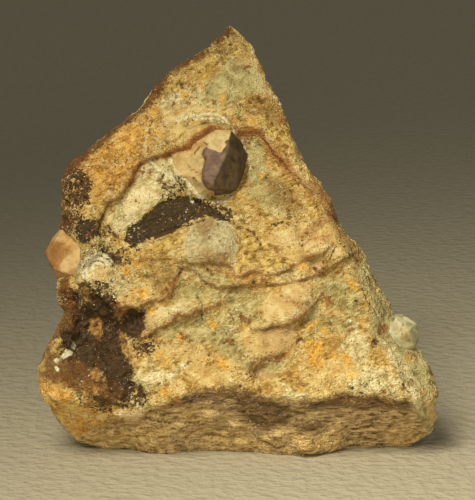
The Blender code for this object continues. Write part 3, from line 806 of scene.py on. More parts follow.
# %% Rust and brown lines
# Rust follows the ledges, and a brown rind follows the outer edges.
VEINS["rust"] = {
    "upper_left": (0.50, LEDGES["upper_left"]),
    "upper_right": (1.05, LEDGES["upper_right"][:8]),
    "upper_right_end": (0.70, LEDGES["upper_right"][7:]),
    "dome_foot": (0.32, LEDGES["dome_foot"]),
    "middle": (0.35, LEDGES["middle"]),
    "left": (0.35, LEDGES["left"]),
    "low_left": (0.40, LEDGES["low_left"]),
    "lobe_foot": (0.30, LEDGES["lobe_foot"]),
    "hook": (0.38, LEDGES["hook"]),
    "hook_foot": (0.25, LEDGES["hook_foot"]),
    "lens_foot": (0.18, LEDGES["lens_foot"]),
    "lobe_rim": (0.26, [(281, 292), (284, 299), (292, 302), (300, 307), (309, 303),
                        (313, 294)]),
    "dome_lens": (0.30, [(212, 266), (222, 272), (232, 276), (226, 268), (218, 266)]),
    "band_rust": (0.12, [(100, 219), (96, 226), (91, 232), (86, 236)]),
    "left_seam": (0.25, [(140, 262), (150, 260), (158, 262)]),
    "band_top_rust": (0.35, [(85, 424), (100, 421), (115, 421), (130, 422)]),
    "band_top_rust_right": (0.45, [(140, 419), (150, 412), (162, 408), (180, 402)]),
}

VEINS["brown_vein"] = {
    "upper_left_rim": (1.5, [(229, 26), (214, 38), (196, 50), (176, 60), (166, 68), (158, 80),
                             (152, 96), (136, 108), (120, 118), (104, 132), (88, 146),
                             (74, 158), (63, 170)]),
    "left_rim": (0.7, [(62, 176), (61, 200), (62, 226)]),
    "right_edge": (0.45, [(421, 350), (427, 370), (433, 388), (439, 405), (442, 418)]),
    "left_side": (0.7, [(66, 282), (68, 292), (68, 304)]),
}
print("rust and brown lines:", len(VEINS["rust"]), len(VEINS["brown_vein"]))

# %% White and lilac lines
# White feldspar needles lie round the crystals, and lilac grey ones beside the left crystal.
VEINS["white"] = {
    "halo_top": (0.26, [(178, 121), (190, 117), (203, 115), (215, 114), (224, 118),
                        (230, 125), (236, 135), (246, 152)]),
    "halo_second": (0.14, [(192, 120), (204, 118), (216, 118), (224, 122)]),
    "halo_third": (0.10, [(206, 122), (216, 122), (223, 125)]),
    "halo_left": (0.14, [(166, 124), (176, 118), (186, 114)]),
    "halo_low_left": (0.48, [(170, 160), (180, 170), (188, 180), (195, 190), (203, 198)]),
    "halo_low": (0.16, [(203, 198), (213, 202), (226, 201), (234, 195)]),
    "halo_side": (0.12, [(243, 148), (249, 158), (250, 170)]),
    "halo_branch": (0.25, [(190, 186), (189, 194), (193, 202)]),
    "crystal_left_glint": (0.35, [(150, 160), (158, 170), (170, 176), (180, 184)]),
}

VEINS["lilac"] = {
    "crystal_rim_outer": (0.32, [(81, 250), (80, 262), (76, 272), (76, 282)]),
    "crystal_rim_inner": (0.30, [(90, 250), (86, 256), (84, 266), (82, 278)]),
}
print("white and lilac lines:", len(VEINS["white"]), len(VEINS["lilac"]))

# %% Swirl
# Round the small swirl beside the left crystal run white, lilac and dark rings in turn. Each row
# has its family, half-width in millimetres, radii in plan units, and the angles it runs between.
SWIRL_CENTRE = (98, 270)
SWIRL_STEP = 15
SWIRL_RINGS = [
    ("white", 0.34, (7, 12, 16), 150, 330),
    ("lilac", 0.26, (9.5, 14.5), 165, 315),
    ("crack", 0.06, (9, 14), 195, 330),
]


def arc(centre, radius, start, end):
    """A round line on the plan between two angles in degrees, clockwise from the right."""
    return [(centre[0] + radius * math.cos(math.radians(angle)),
             centre[1] + radius * math.sin(math.radians(angle)))
            for angle in range(start, end + 1, SWIRL_STEP)]


for family, half_width, radii, start, end in SWIRL_RINGS:
    for radius in radii:
        VEINS[family][f"swirl_{radius}"] = (half_width, arc(SWIRL_CENTRE, radius, start, end))
print("swirl rings:", sum(len(radii) for _, _, radii, _, _ in SWIRL_RINGS))

# %% [markdown]
# ## Carving the rock
# Broken rock has lips and grooves along its ledges, streaks where it is layered, flat-sided chips
# everywhere, and pits. A Displace modifier could push one texture into the mesh, but it would not
# know where each stain and ledge lies. So the points are moved in code, as a sculptor's tools
# would move them. Each shape is a height along the point's own normal, so it holds from every
# side.

# %% Lumps and chips
def noise_field(points, size, seed, stretch=(1.0, 1.0, 1.0)):
    """Soft lumps of about this size in millimetres, from -1 to 1."""
    places = points / MM / size / np.array(stretch) + np.array((seed, seed * 1.7, seed * 0.6))
    return np.array([noise.noise(Vector(place)) for place in places])


def chip_field(points, size, seed):
    """Flat-sided chips of about this size in millimetres, from about -0.5 to 0.5."""
    places = points / MM / size + np.array((seed, seed * 1.3, seed * 0.7))
    values = []
    for place in places:
        distances, _ = noise.voronoi(Vector(place))
        values.append(distances[1] - distances[0])
    return np.clip(np.array(values), 0.0, 1.0) - 0.35


print("lump at a test point:",
      round(float(noise_field(np.array([[1.0, 2.0, 3.0]]) * MM, 2.4, 11.0)[0]), 2))


# %% Depth inside a family
def rise(low, high, values):
    """A smooth step from 0 at low to 1 at high. It falls where low is above high."""
    share = np.clip((values - low) / (high - low), 0.0, 1.0)
    return share * share * (3.0 - 2.0 * share)


def family_depth(plan, patches):
    """How deep each point lies inside the nearest patch of a family, in millimetres."""
    return np.max([patch_distance(plan, outline) for outline in patches.values()], axis=0)


def spot_depth(plan, spots):
    """How deep each point lies inside the nearest round spot, in millimetres."""
    depth = np.full(len(plan), -20.0)
    for x, y, radius in spots:
        gap = np.hypot(plan[:, 0] - x, plan[:, 1] - y)
        depth = np.maximum(depth, (radius - gap) * UNIT_MM)
    return depth


def vein_depth(plan, veins):
    """How deep each point lies inside the nearest vein of half-width and line, in mm."""
    return np.max([half_width - np.abs(line_distance(plan, [line]))
                   for half_width, line in veins.values()], axis=0)


print("the plan's middle lies", round(float(family_depth(plan_middle, PATCHES["dome"])[0]), 1),
      "mm inside the dome")

# %% Read the rock onto the plan
# The outlines are wobbled a little, because no stain has straight sides. A point faces front
# where its normal is near the sheet's, and only such points take the front's families.
WOBBLE_BROAD, WOBBLE_BROAD_SIZE = 1.6, 2.6
WOBBLE_FINE, WOBBLE_FINE_SIZE = 0.9, 1.0
WOBBLE_SEEDS, WOBBLE_FINE_SHIFT = (71.0, 83.0), 5.0
SIDEWAYS, FRONTAL = 0.05, 0.35
points = read_points(rock)
normals = read_points(rock, "normal")
plan, out = plan_of(points)
facing = rise(SIDEWAYS, FRONTAL, normals @ sheet_out)
wobble = np.stack([WOBBLE_BROAD * noise_field(points, WOBBLE_BROAD_SIZE, seed)
                   + WOBBLE_FINE * noise_field(points, WOBBLE_FINE_SIZE, seed + WOBBLE_FINE_SHIFT)
                   for seed in WOBBLE_SEEDS], axis=1)
worn_plan = plan + wobble
print("front share:", round(float(facing.mean()), 2))

# %% Families on the front
# Mottle and speckle stay shallow, so that their noise breaks them up right through.
SHALLOW = {"mottle": 0.06, "speckle": 0.05}
PIT_RIM = 0.08
depths = {name: family_depth(worn_plan, patches) for name, patches in PATCHES.items()}
for name, most in SHALLOW.items():
    depths[name] = np.minimum(depths[name], most)
spots = {name: spot_depth(worn_plan, rows) for name, rows in SPOTS.items()}
veins = {name: vein_depth(worn_plan, rows) for name, rows in VEINS.items()}
depths.update({name: spots[name] for name in ("limonite", "rusty_spot")})
depths.update({name: veins[name] for name in ("lip", "rust", "brown_vein", "lilac")})
depths["dark_spot"] = np.maximum(spots["dark_spot"] - PIT_RIM, veins["crack"])
depths["white"] = np.maximum(veins["white"], spots["white"])
print("families:", len(depths))

# %% Families on the back
# The back and sides have the same families, in patches set out by noise. Each has its patch
# size in mm, how rare it is, and a seed. A vein has its half-width in mm in place of the rarity.
BACK_FAMILIES = [
    ("pale", 13.0, 0.10, 101.0), ("green", 15.0, 0.10, 103.0), ("ochre", 16.0, 0.05, 107.0),
    ("wash", 11.0, 0.15, 109.0), ("brown", 14.0, 0.34, 113.0), ("black", 11.0, 0.52, 127.0),
    ("mottle", 12.0, 0.40, 131.0), ("rusty_spot", 2.6, 0.45, 149.0), ("tan", 9.0, 0.40, 151.0),
]
BACK_VEINS = [("rust", 13.0, 0.35, 137.0), ("white", 17.0, 0.18, 139.0)]
DEPTH_LIMIT = 8.0
back = {name: np.full(len(points), -DEPTH_LIMIT) for name in depths}
for name, size, rarity, seed in BACK_FAMILIES:
    back[name] = (noise_field(points, size, seed) - rarity) * size
for name, size, half_width, seed in BACK_VEINS:
    back[name] = half_width - np.abs(noise_field(points, size, seed)) * size
back["mottle"] = np.minimum(back["mottle"], SHALLOW["mottle"])
for name, depth in depths.items():
    depths[name] = (facing * np.clip(depth, -DEPTH_LIMIT, DEPTH_LIMIT)
                    + (1.0 - facing) * back[name])
print("families on the back:", len(BACK_FAMILIES) + len(BACK_VEINS))

# %% Carve the ledges
# Heights, widths and sizes here are in millimetres. The lips fade and strengthen along a ledge.
LIP_HEIGHT, LIP_WIDTH = 0.62, 3.2
GROOVE_DEPTH, GROOVE_WIDTH = 0.20, 1.8
LEDGE_EDGE = 0.35
FADING_MEAN, FADING_SWING, FADING_SIZE, FADING_SEED = 0.75, 0.5, 4.0, 91.0
height = np.zeros(len(points))
fading = FADING_MEAN + FADING_SWING * noise_field(points, FADING_SIZE, FADING_SEED)
for line in LEDGES.values():
    gap = line_distance(worn_plan, [line])
    lip = LIP_HEIGHT * np.exp(-np.maximum(gap, 0.0) / LIP_WIDTH)
    groove = -GROOVE_DEPTH * np.exp(np.minimum(gap, 0.0) / GROOVE_WIDTH)
    height += facing * fading * (groove + (lip - groove) * rise(-LEDGE_EDGE, LEDGE_EDGE, gap))
print("ledges from", round(float(height.min()), 2), "to", round(float(height.max()), 2), "mm")

# %% Carve chips, lumps and grit
# Feldspar and clay are calmer than the open ground, and manganese crusts are rougher.
CALM_SHARES = {"pale": 0.5, "clay": 0.3, "peach": 0.6, "dome": 0.6, "wash": 0.4}
CALM_MOST = 0.8
BLACK_GRIT, BROWN_GRIT = 0.9, 0.4
CHIP_SIZE, CHIP_HEIGHT, CHIP_SEED = 5.5, 0.7, 3.1
LUMP_SIZE, LUMP_HEIGHT, LUMP_SEED = 2.4, 0.34, 11.0
GRIT_SIZE, GRIT_HEIGHT, GRIT_SEED = 0.95, 0.20, 23.0
BACK_CHIP_SIZE, BACK_CHIP_HEIGHT, BACK_CHIP_SEED = 12.0, 2.2, 5.3
inside = {name: rise(-0.6, 0.8, depth) * facing for name, depth in depths.items()}
calm = np.clip(sum(share * inside[name] for name, share in CALM_SHARES.items()), 0.0, CALM_MOST)
grit = 1.0 - calm + BLACK_GRIT * inside["black"] + BROWN_GRIT * inside["brown"]
layered = np.maximum(inside["strip"], inside["band"])
height += CHIP_HEIGHT * chip_field(points, CHIP_SIZE, CHIP_SEED) * (1.0 - 0.6 * calm)
height += LUMP_HEIGHT * noise_field(points, LUMP_SIZE, LUMP_SEED) * (1.0 - 0.4 * calm)
height += (GRIT_HEIGHT * noise_field(points, GRIT_SIZE, GRIT_SEED) * grit
           * (1.0 - 0.5 * layered))
height += BACK_CHIP_HEIGHT * chip_field(points, BACK_CHIP_SIZE, BACK_CHIP_SEED) * (1.0 - facing)
print("calm share:", round(float(calm.mean()), 2))

# %% Carve the layers
# The strip is layered along its own run, and the band level. Each row has its family, height and
# thickness in mm, seed, and how many times longer than thick a layer is.
STRIP_ALONG = np.array((0.445, -0.896))
sheet_s = (points - np.array(SHEET_ORIGIN)) @ sheet_right
sheet_t = (points - np.array(SHEET_ORIGIN)) @ sheet_up
layer_points = {
    "strip": np.stack((sheet_s * STRIP_ALONG[0] + sheet_t * STRIP_ALONG[1],
                       -sheet_s * STRIP_ALONG[1] + sheet_t * STRIP_ALONG[0],
                       out * MM), axis=1),
    "band": np.stack((sheet_s, sheet_t, out * MM), axis=1),
}
LAYERS = [
    ("strip", 0.36, 1.1, 31.0, 7.0),
    ("band", 0.30, 1.3, 37.0, 4.0),
    ("band", 0.25, 3.0, 39.0, 2.5),
]
for name, amount, thickness, seed, length in LAYERS:
    layer = noise_field(layer_points[name], thickness, seed, (length, 1.0, 1.0))
    height += amount * layer * inside[name]
print("layered share:", round(float(layered.mean()), 2))

# %% Carve the stains
# Pits and clay lie low, limonite and feldspar stand up, and the crusts are ragged. Each row has
# its family, height in mm, and the depths inside the family that it rises between.
STAIN_RELIEF = [
    ("dark_spot", -0.40, -0.25, 0.35),
    ("limonite", 0.20, -0.8, 0.8),
    ("white", 0.12, -0.4, 0.3),
    ("clay", -0.35, -0.3, 0.3),
]
RAGGED_HEIGHT, RAGGED_SIZE, RAGGED_SEED = 1.25, 2.2, 41.0
CRUMBLE_SHARE, CRUMBLE_SIZE, CRUMBLE_SEED = 0.6, 0.9, 43.0
for name, amount, low, high in STAIN_RELIEF:
    height += amount * rise(low, high, depths[name]) * facing
ragged = (noise_field(points, RAGGED_SIZE, RAGGED_SEED)
          + CRUMBLE_SHARE * noise_field(points, CRUMBLE_SIZE, CRUMBLE_SEED))
height -= RAGGED_HEIGHT * inside["black"] * ragged
print("deepest so far:", round(float(height.min()), 2), "mm")

# %% Carve bulges and hollows
# Each has its height in millimetres and its outline on the plan.
BULGES = {
    "left_crystal_seat": (1.6, [(44, 262), (54, 270), (60, 280), (62, 290), (60, 304), (50, 304),
                                (42, 284)]),
    "low_left_edge": (0.8, [(30, 360), (44, 352), (52, 372), (60, 400), (46, 404), (32, 380)]),
    "upper_left_bevel": (-0.9, [(60, 166), (84, 140), (110, 118), (140, 98), (146, 108),
                                (112, 132), (84, 156), (66, 172)]),
    "hook": (-1.9, [(248, 372), (254, 363), (268, 358), (284, 357), (284, 366), (272, 375),
                    (256, 380)]),
    "diagonal": (-0.8, [(176, 322), (204, 316), (226, 332), (244, 352), (250, 368), (238, 362),
                        (214, 346), (192, 336)]),
    "lobe": (0.7, [(264, 304), (280, 284), (300, 280), (312, 290), (306, 308), (290, 320),
                   (268, 324)]),
    "dome": (0.5, [(188, 240), (200, 222), (220, 218), (234, 232), (236, 254), (214, 260),
                   (194, 258)]),
    "black_block": (-0.8, [(120, 314), (134, 311), (144, 312), (141, 334), (126, 334)]),
    "left_shelf": (0.6, [(146, 330), (156, 306), (190, 302), (200, 306), (180, 316),
                         (158, 326)]),
    "right_edge": (1.4, [(405, 349), (426, 345), (438, 366), (444, 396), (430, 400),
                         (415, 376)]),
    "band_scoop": (1.0, [(296, 437), (310, 436), (324, 433), (338, 425), (348, 432), (340, 448),
                         (318, 455), (298, 451)]),
    "low_left_corner": (1.4, [(62, 416), (76, 419), (92, 422), (116, 425), (122, 436),
                              (112, 450), (96, 450), (74, 442), (62, 430)]),
    "hollow": (-1.5, [(100, 350), (114, 346), (126, 358), (132, 374), (130, 384), (116, 380),
                      (102, 366)]),
    "corner_foot": (1.2, [(76, 428), (96, 432), (124, 446), (120, 456), (96, 452), (76, 442)]),
    "shard": (0.6, [(306, 244), (320, 238), (332, 248), (322, 258), (308, 254)]),
}
BULGE_EDGE = 1.6
for amount, outline in BULGES.values():
    height += amount * rise(-BULGE_EDGE, BULGE_EDGE, patch_distance(plan, outline))
print("bulges and hollows:", len(BULGES))

# %% [markdown]
# ## Seats for the crystals
# The rock grew tight round the crystals, and only part of each shows. A Boolean would cut each
# seat with a hard rim. Instead the rock is drawn in under the crystal inside a window on the plan.
# Everywhere else it keeps lying over the crystal like a skin, so it looks half grown over.

# %% Seat the crystals
WINDOWS = {
    "main_crystal": [(160, 156), (168, 154), (190, 146), (204, 134), (216, 129), (230, 128),
                     (241, 138), (249, 154), (249, 168), (247, 183), (231, 199), (220, 203),
                     (206, 200), (194, 190), (184, 178), (172, 166)],
    "left_crystal": [(60, 228), (70, 238), (80, 248), (79, 262), (75, 271), (72, 280),
                     (66, 296), (50, 310), (36, 280), (36, 240)],
    "right_crystal": [(389, 330), (390, 317), (397, 309), (412, 311), (428, 326), (428, 344),
                      (418, 350), (408, 351), (399, 346), (392, 338)],
}
SEAT_REACH, SEAT_EDGE = 0.8, 0.5
SEAT_DEPTH = 1.8 * MM
WINDOW_EDGE = 0.25
BEHIND_FROM, BEHIND_TO = 0.0, -0.2
COVER_HEIGHTS = {"main_crystal": 0.4, "left_crystal": 0.7, "right_crystal": 0.1}
COVER_FILL = 0.8
MOAT_REACH = 2.6
MOAT_DEPTHS = {"main_crystal": 0.6, "left_crystal": 0.0, "right_crystal": 0.0}


def beyond(points, node):
    """How far points lie outside a flat-faced solid, in millimetres, negative inside it."""
    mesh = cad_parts[node].data
    smallest = 0.01 * MM * MM
    reach = [(points - np.array(face.center)) @ np.array(face.normal)
             for face in mesh.polygons if face.area > smallest]
    return np.max(reach, axis=0) / MM


seat = np.zeros_like(points)
for node, window in WINDOWS.items():
    low, high = (np.array(corner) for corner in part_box(node))
    inward = (low + high) / 2.0 - points
    inward /= np.linalg.norm(inward, axis=1)[:, None]
    shown = rise(-WINDOW_EDGE, WINDOW_EDGE, patch_distance(worn_plan, window))
    behind = rise(BEHIND_FROM, BEHIND_TO, normals @ sheet_out)
    near = rise(SEAT_REACH, SEAT_EDGE, beyond(points, node))
    under = near * np.maximum(shown, behind)
    moat = rise(MOAT_REACH, SEAT_REACH, beyond(points, node)) * shown * (1.0 - near)
    height -= MOAT_DEPTHS[node] * moat
    height += (COVER_HEIGHTS[node] + np.minimum(height, 0.0) * -COVER_FILL) * (near - under)
    height *= 1.0 - under
    seat += inward * (SEAT_DEPTH * under)[:, None]
carved = points + normals * (height * MM)[:, None] + seat
print("carved from", round(float(height.min()), 2), "to", round(float(height.max()), 2), "mm")

# %% Flat foot and sharp peak
# The foot stays the flat face that the rock rests on. The peak lost its point in the remesh, so
# it is pulled up again, and in towards its middle.
FOOT_BAND = 0.25 * MM
APEX, APEX_REACH, APEX_PULL, APEX_PINCH = (229, 26), 4.0, 1.3 * MM, -0.45
foot_level = cad_low.z
carved[:, 2] = np.maximum(carved[:, 2], foot_level)
flat_foot = points[:, 2] < foot_level + FOOT_BAND
carved[flat_foot] = points[flat_foot]
carved[flat_foot, 2] = foot_level
apex_gap = np.linalg.norm(plan - np.array(APEX), axis=1) * UNIT_MM
apex_share = rise(APEX_REACH, 0.0, apex_gap)
carved += np.array(sheet_up) * (APEX_PULL * apex_share ** 2)[:, None]
apex_side = (plan[:, 0] - APEX[0]) * UNIT_MM * MM * apex_share * APEX_PINCH
carved += np.array(sheet_right) * apex_side[:, None]
write_points(rock, carved)
print("points on the flat foot:", int(flat_foot.sum()))

# %% [markdown]
# ## Families on the mesh
# A material can't read the plan, because the plan belongs to one view. So each family's depth is
# stored as one number on every vertex, and the finished mesh carries its stains with it from any
# side. One more number says how hollow the place is, because hollows are painted darker as
# painted shade and ridges paler as a painted highlight.

# %% Store the families
HOLLOW_ROUNDS = 6
SNUG_FAR, SNUG_NEAR, SNUG_SHARE = 2.4, 1.2, 0.8


def store(piece, name, values):
    """Keep one number for every vertex of a piece, for its material to read."""
    attribute = piece.data.attributes.new(name, "FLOAT", "POINT")
    attribute.data.foreach_set("value", values.astype(np.float32))


def hollowness(piece, rounds):
    """How far each point lies below the mean of its neighbourhood, in millimetres."""
    places = read_points(piece)
    pairs = np.empty(len(piece.data.edges) * 2, np.int32)
    piece.data.edges.foreach_get("vertices", pairs)
    first, second = pairs.reshape(-1, 2).T
    count = np.bincount(pairs, minlength=len(places))[:, None]
    mean = places.copy()
    for _ in range(rounds):
        total = np.zeros_like(mean)
        for axis in range(3):
            total[:, axis] = (np.bincount(first, mean[second, axis], len(places))
                              + np.bincount(second, mean[first, axis], len(places)))
        mean = 0.5 * mean + 0.5 * total / np.maximum(count, 1)
    return np.sum((mean - places) * read_points(piece, "normal"), axis=1) / MM


for name, depth in depths.items():
    store(rock, name, depth)
# The seats round the crystals are hollow too, but they are kept free of painted shade.
snug = np.max([rise(SNUG_FAR, SNUG_NEAR, beyond(points, node)) for node in CRYSTAL_NODES], axis=0)
store(rock, "hollow", hollowness(rock, HOLLOW_ROUNDS) * (1.0 - SNUG_SHARE * snug))
print("stored", len(rock.data.attributes), "attributes")

# %% [markdown]
# ## Fewer faces behind
# The front needs its small faces, and the back and base don't. Thinning the whole rock would
# blunt its ledges. A Decimate modifier limited to a vertex group takes away most of the faces
# behind, and keeps the front as it was carved.

# %% Thin the back
BACK_KEPT = 0.52
GROUP_STEPS = 10
behind_group = rock.vertex_groups.new(name="behind")
for step in range(1, GROUP_STEPS + 1):
    chosen = np.nonzero(np.round((1.0 - facing) * GROUP_STEPS) == step)[0]
    behind_group.add([int(index) for index in chosen], step / GROUP_STEPS, "REPLACE")
pick(rock)
thin = rock.modifiers.new("thin", "DECIMATE")
thin.ratio = BACK_KEPT
thin.vertex_group = behind_group.name
thin.use_collapse_triangulate = True
bpy.ops.object.modifier_apply(modifier=thin.name)
bpy.ops.object.shade_smooth()
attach(rock, "root")
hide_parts("matrix")
print("rock after thinning:", len(rock.data.polygons), "faces")

# %% [markdown]
# ## Altered lava
# The host rock is a lava that hot water has altered to clay, feldspar and iron oxides, and then
# broken, not polished. So it is dull all over, with a typical stone's IOR, which is the shader's
# own, and its colour comes in grains and stains of every size. One noise would make it a cloud.
# So the material first mixes grains of ochre and cream, then lays the stain families over them
# one by one. Each family's edge is broken up by noise, so that it looks soaked in and not
# painted on.

# %% Noise of every size
rock_material, tree, shader = new_material("altered_lava")
coords = add(tree, "ShaderNodeTexCoord")
place = coords.outputs["Object"]
GRAIN = 0.40 * MM
# Size in mm, detail, roughness and distortion of each noise. The finest, real clay and sand, are
# drawn half a millimetre wide, as coarse as they need to show.
NOISES = {
    "broad": (7.0, 4.0, 0.50, 0.6),
    "middle": (2.4, 4.0, 0.62, 0.5),
    "crumbs": (1.2, 4.0, 0.75, 0.4),
    "fine": (0.75, 3.0, 0.65, 0.0),
    "specks": (0.5, 2.0, 0.60, 0.0),
}
broad, middle, crumbs, fine, specks = [
    add(tree, "ShaderNodeTexNoise", {"Vector": place, "Scale": 1.0 / (size * MM),
                                     "Detail": detail, "Roughness": roughness,
                                     "Distortion": distortion})
    for size, detail, roughness, distortion in NOISES.values()]
grain = add(tree, "ShaderNodeTexVoronoi", {"Vector": place, "Scale": 1.0 / GRAIN})
grain_tone = add(tree, "ShaderNodeSeparateColor", {"Color": grain.outputs["Color"]})
print("noises:", {name: row[0] for name, row in NOISES.items()}, "mm")

# %% Streaks
# Streaks run along the right strip and level along the band at the foot. Over the rest of the
# rock short strokes rise to the right. Each row has its run, its width, and how many times
# longer than wide a streak is.
STRIP_RUN = Vector(STRIP_ALONG[0] * sheet_right + STRIP_ALONG[1] * sheet_up)
BAND_RUN = Vector((1.0, 0.0, 0.03))
STROKE_RISE = 0.45
STROKE_RUN = Vector(math.cos(STROKE_RISE) * sheet_right + math.sin(STROKE_RISE) * sheet_up)
STREAKS = [
    ("strip", STRIP_RUN, 0.9 * MM, 9.0),
    ("band", BAND_RUN, 0.75 * MM, 4.5),
    ("ground", STROKE_RUN, 0.62 * MM, 2.6),
]
streaks = {}
for name, run, width, stretch in STREAKS:
    turn = Vector((1.0, 0.0, 0.0)).rotation_difference(run.normalized()).to_euler()
    lined_up = add(tree, "ShaderNodeMapping", {"Vector": place, "Rotation": turn,
                                               "Scale": (stretch, 1.0, 1.0)},
                   vector_type="TEXTURE")
    streaks[name] = add(tree, "ShaderNodeTexNoise", {
        "Vector": lined_up.outputs[0], "Scale": 1.0 / width, "Detail": 4.0,
        "Roughness": 0.62, "Distortion": 0.5})


def grain_sum(tree, base, shares):
    """Add up noises, each times its share, from a base."""
    for source, share in shares:
        total = add(tree, "ShaderNodeMath", {0: source.outputs[0], 1: share, 2: base},
                    operation="MULTIPLY_ADD")
        base = total.outputs[0]
    return total


textured = grain_sum(tree, -0.50, [(middle, 0.8), (streaks["ground"], 0.8), (fine, 0.4)])
banded = grain_sum(tree, -0.35, [(crumbs, 0.7), (streaks["band"], 1.0)])
print("streaks:", sorted(streaks))

# %% Ground colour
# Bare ground goes from brown through ochre to cream, by the sum of three sizes of grain.
GROUND_TONES = [(0.66, "5e441a"), (0.79, "987234"), (0.92, "bc9648"), (1.04, "d4b26c"),
                (1.18, "ecd498")]
LOWEST, HIGHEST = GROUND_TONES[0][0], GROUND_TONES[-1][0]
ground_sum = grain_sum(tree, -0.20, [(middle, 1.1), (streaks["ground"], 1.2),
                                     (grain_tone, 0.10)])
squeeze = add(tree, "ShaderNodeMapRange", {"Value": ground_sum.outputs[0], "From Min": LOWEST,
                                           "From Max": HIGHEST})
ground = add(tree, "ShaderNodeValToRGB", {"Fac": squeeze.outputs[0]})
ramp = ground.color_ramp
while len(ramp.elements) < len(GROUND_TONES):
    ramp.elements.new(0.5)
for element, (position, code) in zip(ramp.elements, GROUND_TONES):
    element.position = (position - LOWEST) / (HIGHEST - LOWEST)
    element.color = srgb(code)
colour = ground.outputs[0]

# Altered, greener ground and ochre ground alternate in clouds a few millimetres wide.
CLOUDS = [(0.50, 0.62, 0.50, "a59c68"), (0.47, 0.36, 0.45, "b5843a")]
for low, high, strength, code in CLOUDS:
    cloud = add(tree, "ShaderNodeMapRange", {"Value": broad.outputs[0], "From Min": low,
                                             "From Max": high, "To Max": strength})
    clouded = add(tree, "ShaderNodeMix", {0: cloud.outputs[0], 6: colour, 7: srgb(code)},
                  data_type="RGBA")
    colour = clouded.outputs[2]
print("ground tones:", [code for _, code in GROUND_TONES])

# %% Soaked and calm stains
# Attribute, noise for its edge, noise for its tones, darker tone, lighter tone, edge softness
# and raggedness in mm, strength.
SOAKED = [
    ("ochre", middle, textured, "985c14", "eeae48", 1.8, 3.4, 0.72),
    # Honey on the lower left lobe's side, and amber on the lobe, are partly painted light,
    # brighter than the stain.
    ("honey", middle, textured, "c47e26", "ffd070", 1.2, 3.0, 0.85),
    ("amber", middle, textured, "e09636", "ffe690", 1.0, 2.6, 0.92),
    ("gold", middle, textured, "80602a", "eac468", 1.6, 3.4, 0.74),
    ("strip", fine, streaks["strip"], "6c6034", "c3b683", 0.6, 1.4, 0.85),
    ("pale", crumbs, textured, "b09e68", "fff0c0", 0.9, 2.6, 0.84),
]
CALM = [
    ("wash", middle, middle, "c0924c", "f2d694", 1.3, 3.0, 0.80),
    ("green", middle, textured, "7e7240", "cebf86", 1.4, 3.0, 0.78),
    ("sage", middle, middle, "9e9260", "d8cc94", 1.3, 3.0, 0.82),
    ("dome", fine, fine, "aa9a6e", "e0d4ac", 0.5, 1.4, 0.90),
    ("peach", fine, middle, "cfa766", "f0dca4", 0.12, 0.4, 0.92),
    ("cream", middle, middle, "e2bc78", "fff0c4", 0.4, 1.6, 0.90),
    ("blush", fine, middle, "ac8654", "d6b680", 0.5, 1.2, 0.85),
    ("tan", fine, textured, "8a6230", "bf9858", 0.3, 1.2, 0.82),
    # The shade row is partly the rock's browner tone and partly painted shade in folds and
    # hollows.
    ("shade", middle, textured, "76562a", "b48c4c", 1.2, 2.0, 0.76),
    ("rusty_spot", crumbs, fine, "5c3412", "a8702c", 0.2, 1.5, 0.85),
    ("limonite", fine, fine, "bc781c", "fccc5e", 0.35, 1.2, 0.90),
]
print("soaked and calm stains:", len(SOAKED), len(CALM))

# %% Dark stains and rims
LAID_OVER = [
    ("brown", middle, specks, "3a200c", "905e26", 0.8, 3.0, 0.88),
    ("band", fine, banded, "6c4e26", "f6d49a", 0.3, 1.0, 1.00),
    ("band_gold", middle, banded, "9a763c", "ffdc98", 0.8, 3.0, 0.80),
    ("band_dark", crumbs, banded, "2c2014", "8e6c42", 1.0, 3.0, 0.88),
    ("mottle", crumbs, specks, "140c05", "62401c", 0.12, 2.6, 0.94),
    ("speckle", specks, fine, "140c05", "6a4420", 0.12, 2.4, 0.92),
    ("black", crumbs, crumbs, "090502", "5a3c20", 0.4, 2.4, 0.95),
    ("umber", crumbs, crumbs, "2a1a0a", "8c5c2a", 0.8, 3.0, 0.72),
    ("tawny", crumbs, fine, "7a5022", "d4a25c", 0.3, 1.4, 0.85),
    ("clay", crumbs, specks, "170e06", "48331c", 0.15, 1.8, 0.95),
    ("brown_vein", crumbs, textured, "43240e", "8a5220", 0.5, 3.0, 0.88),
    ("rust", crumbs, middle, "93562a", "c08c54", 0.50, 2.2, 0.72),
    ("lip", fine, textured, "864a22", "c28248", 0.35, 1.0, 0.85),
    ("lilac", fine, middle, "857a68", "ab9f88", 0.3, 0.6, 0.75),
    ("white", fine, fine, "ddd2a4", "fff8dc", 0.20, 0.5, 0.86),
    ("dark_spot", fine, fine, "23160a", "5a3a1a", 0.16, 1.2, 0.88),
]
print("dark stains and rims:", len(LAID_OVER))

# %% Laying a stain
NOISE_MEAN = 0.5
NOISE_LOW, NOISE_HIGH = 0.33, 0.67


def lay_stains(tree, stains, colour):
    """Lay stain families over a colour, each where its ragged depth is above nothing."""
    for name, edges, field, dark, light, softness, raggedness, strength in stains:
        depth = add(tree, "ShaderNodeAttribute", attribute_name=name)
        wander = add(tree, "ShaderNodeMath", {0: edges.outputs[0], 1: NOISE_MEAN},
                     operation="SUBTRACT")
        ragged = add(tree, "ShaderNodeMath", {0: wander.outputs[0], 1: 2.0 * raggedness,
                                              2: depth.outputs["Fac"]},
                     operation="MULTIPLY_ADD")
        mask = add(tree, "ShaderNodeMapRange", {"Value": ragged.outputs[0],
                                                "From Min": -softness, "From Max": softness,
                                                "To Max": strength},
                   interpolation_type="SMOOTHSTEP")
        contrast = add(tree, "ShaderNodeMapRange", {
            "Value": field.outputs[0], "From Min": NOISE_LOW, "From Max": NOISE_HIGH})
        tone = add(tree, "ShaderNodeMix", {0: contrast.outputs[0], 6: srgb(dark),
                                           7: srgb(light)}, data_type="RGBA")
        layer = add(tree, "ShaderNodeMix", {0: mask.outputs[0], 6: colour,
                                            7: tone.outputs[2]}, data_type="RGBA")
        colour = layer.outputs[2]
    return colour
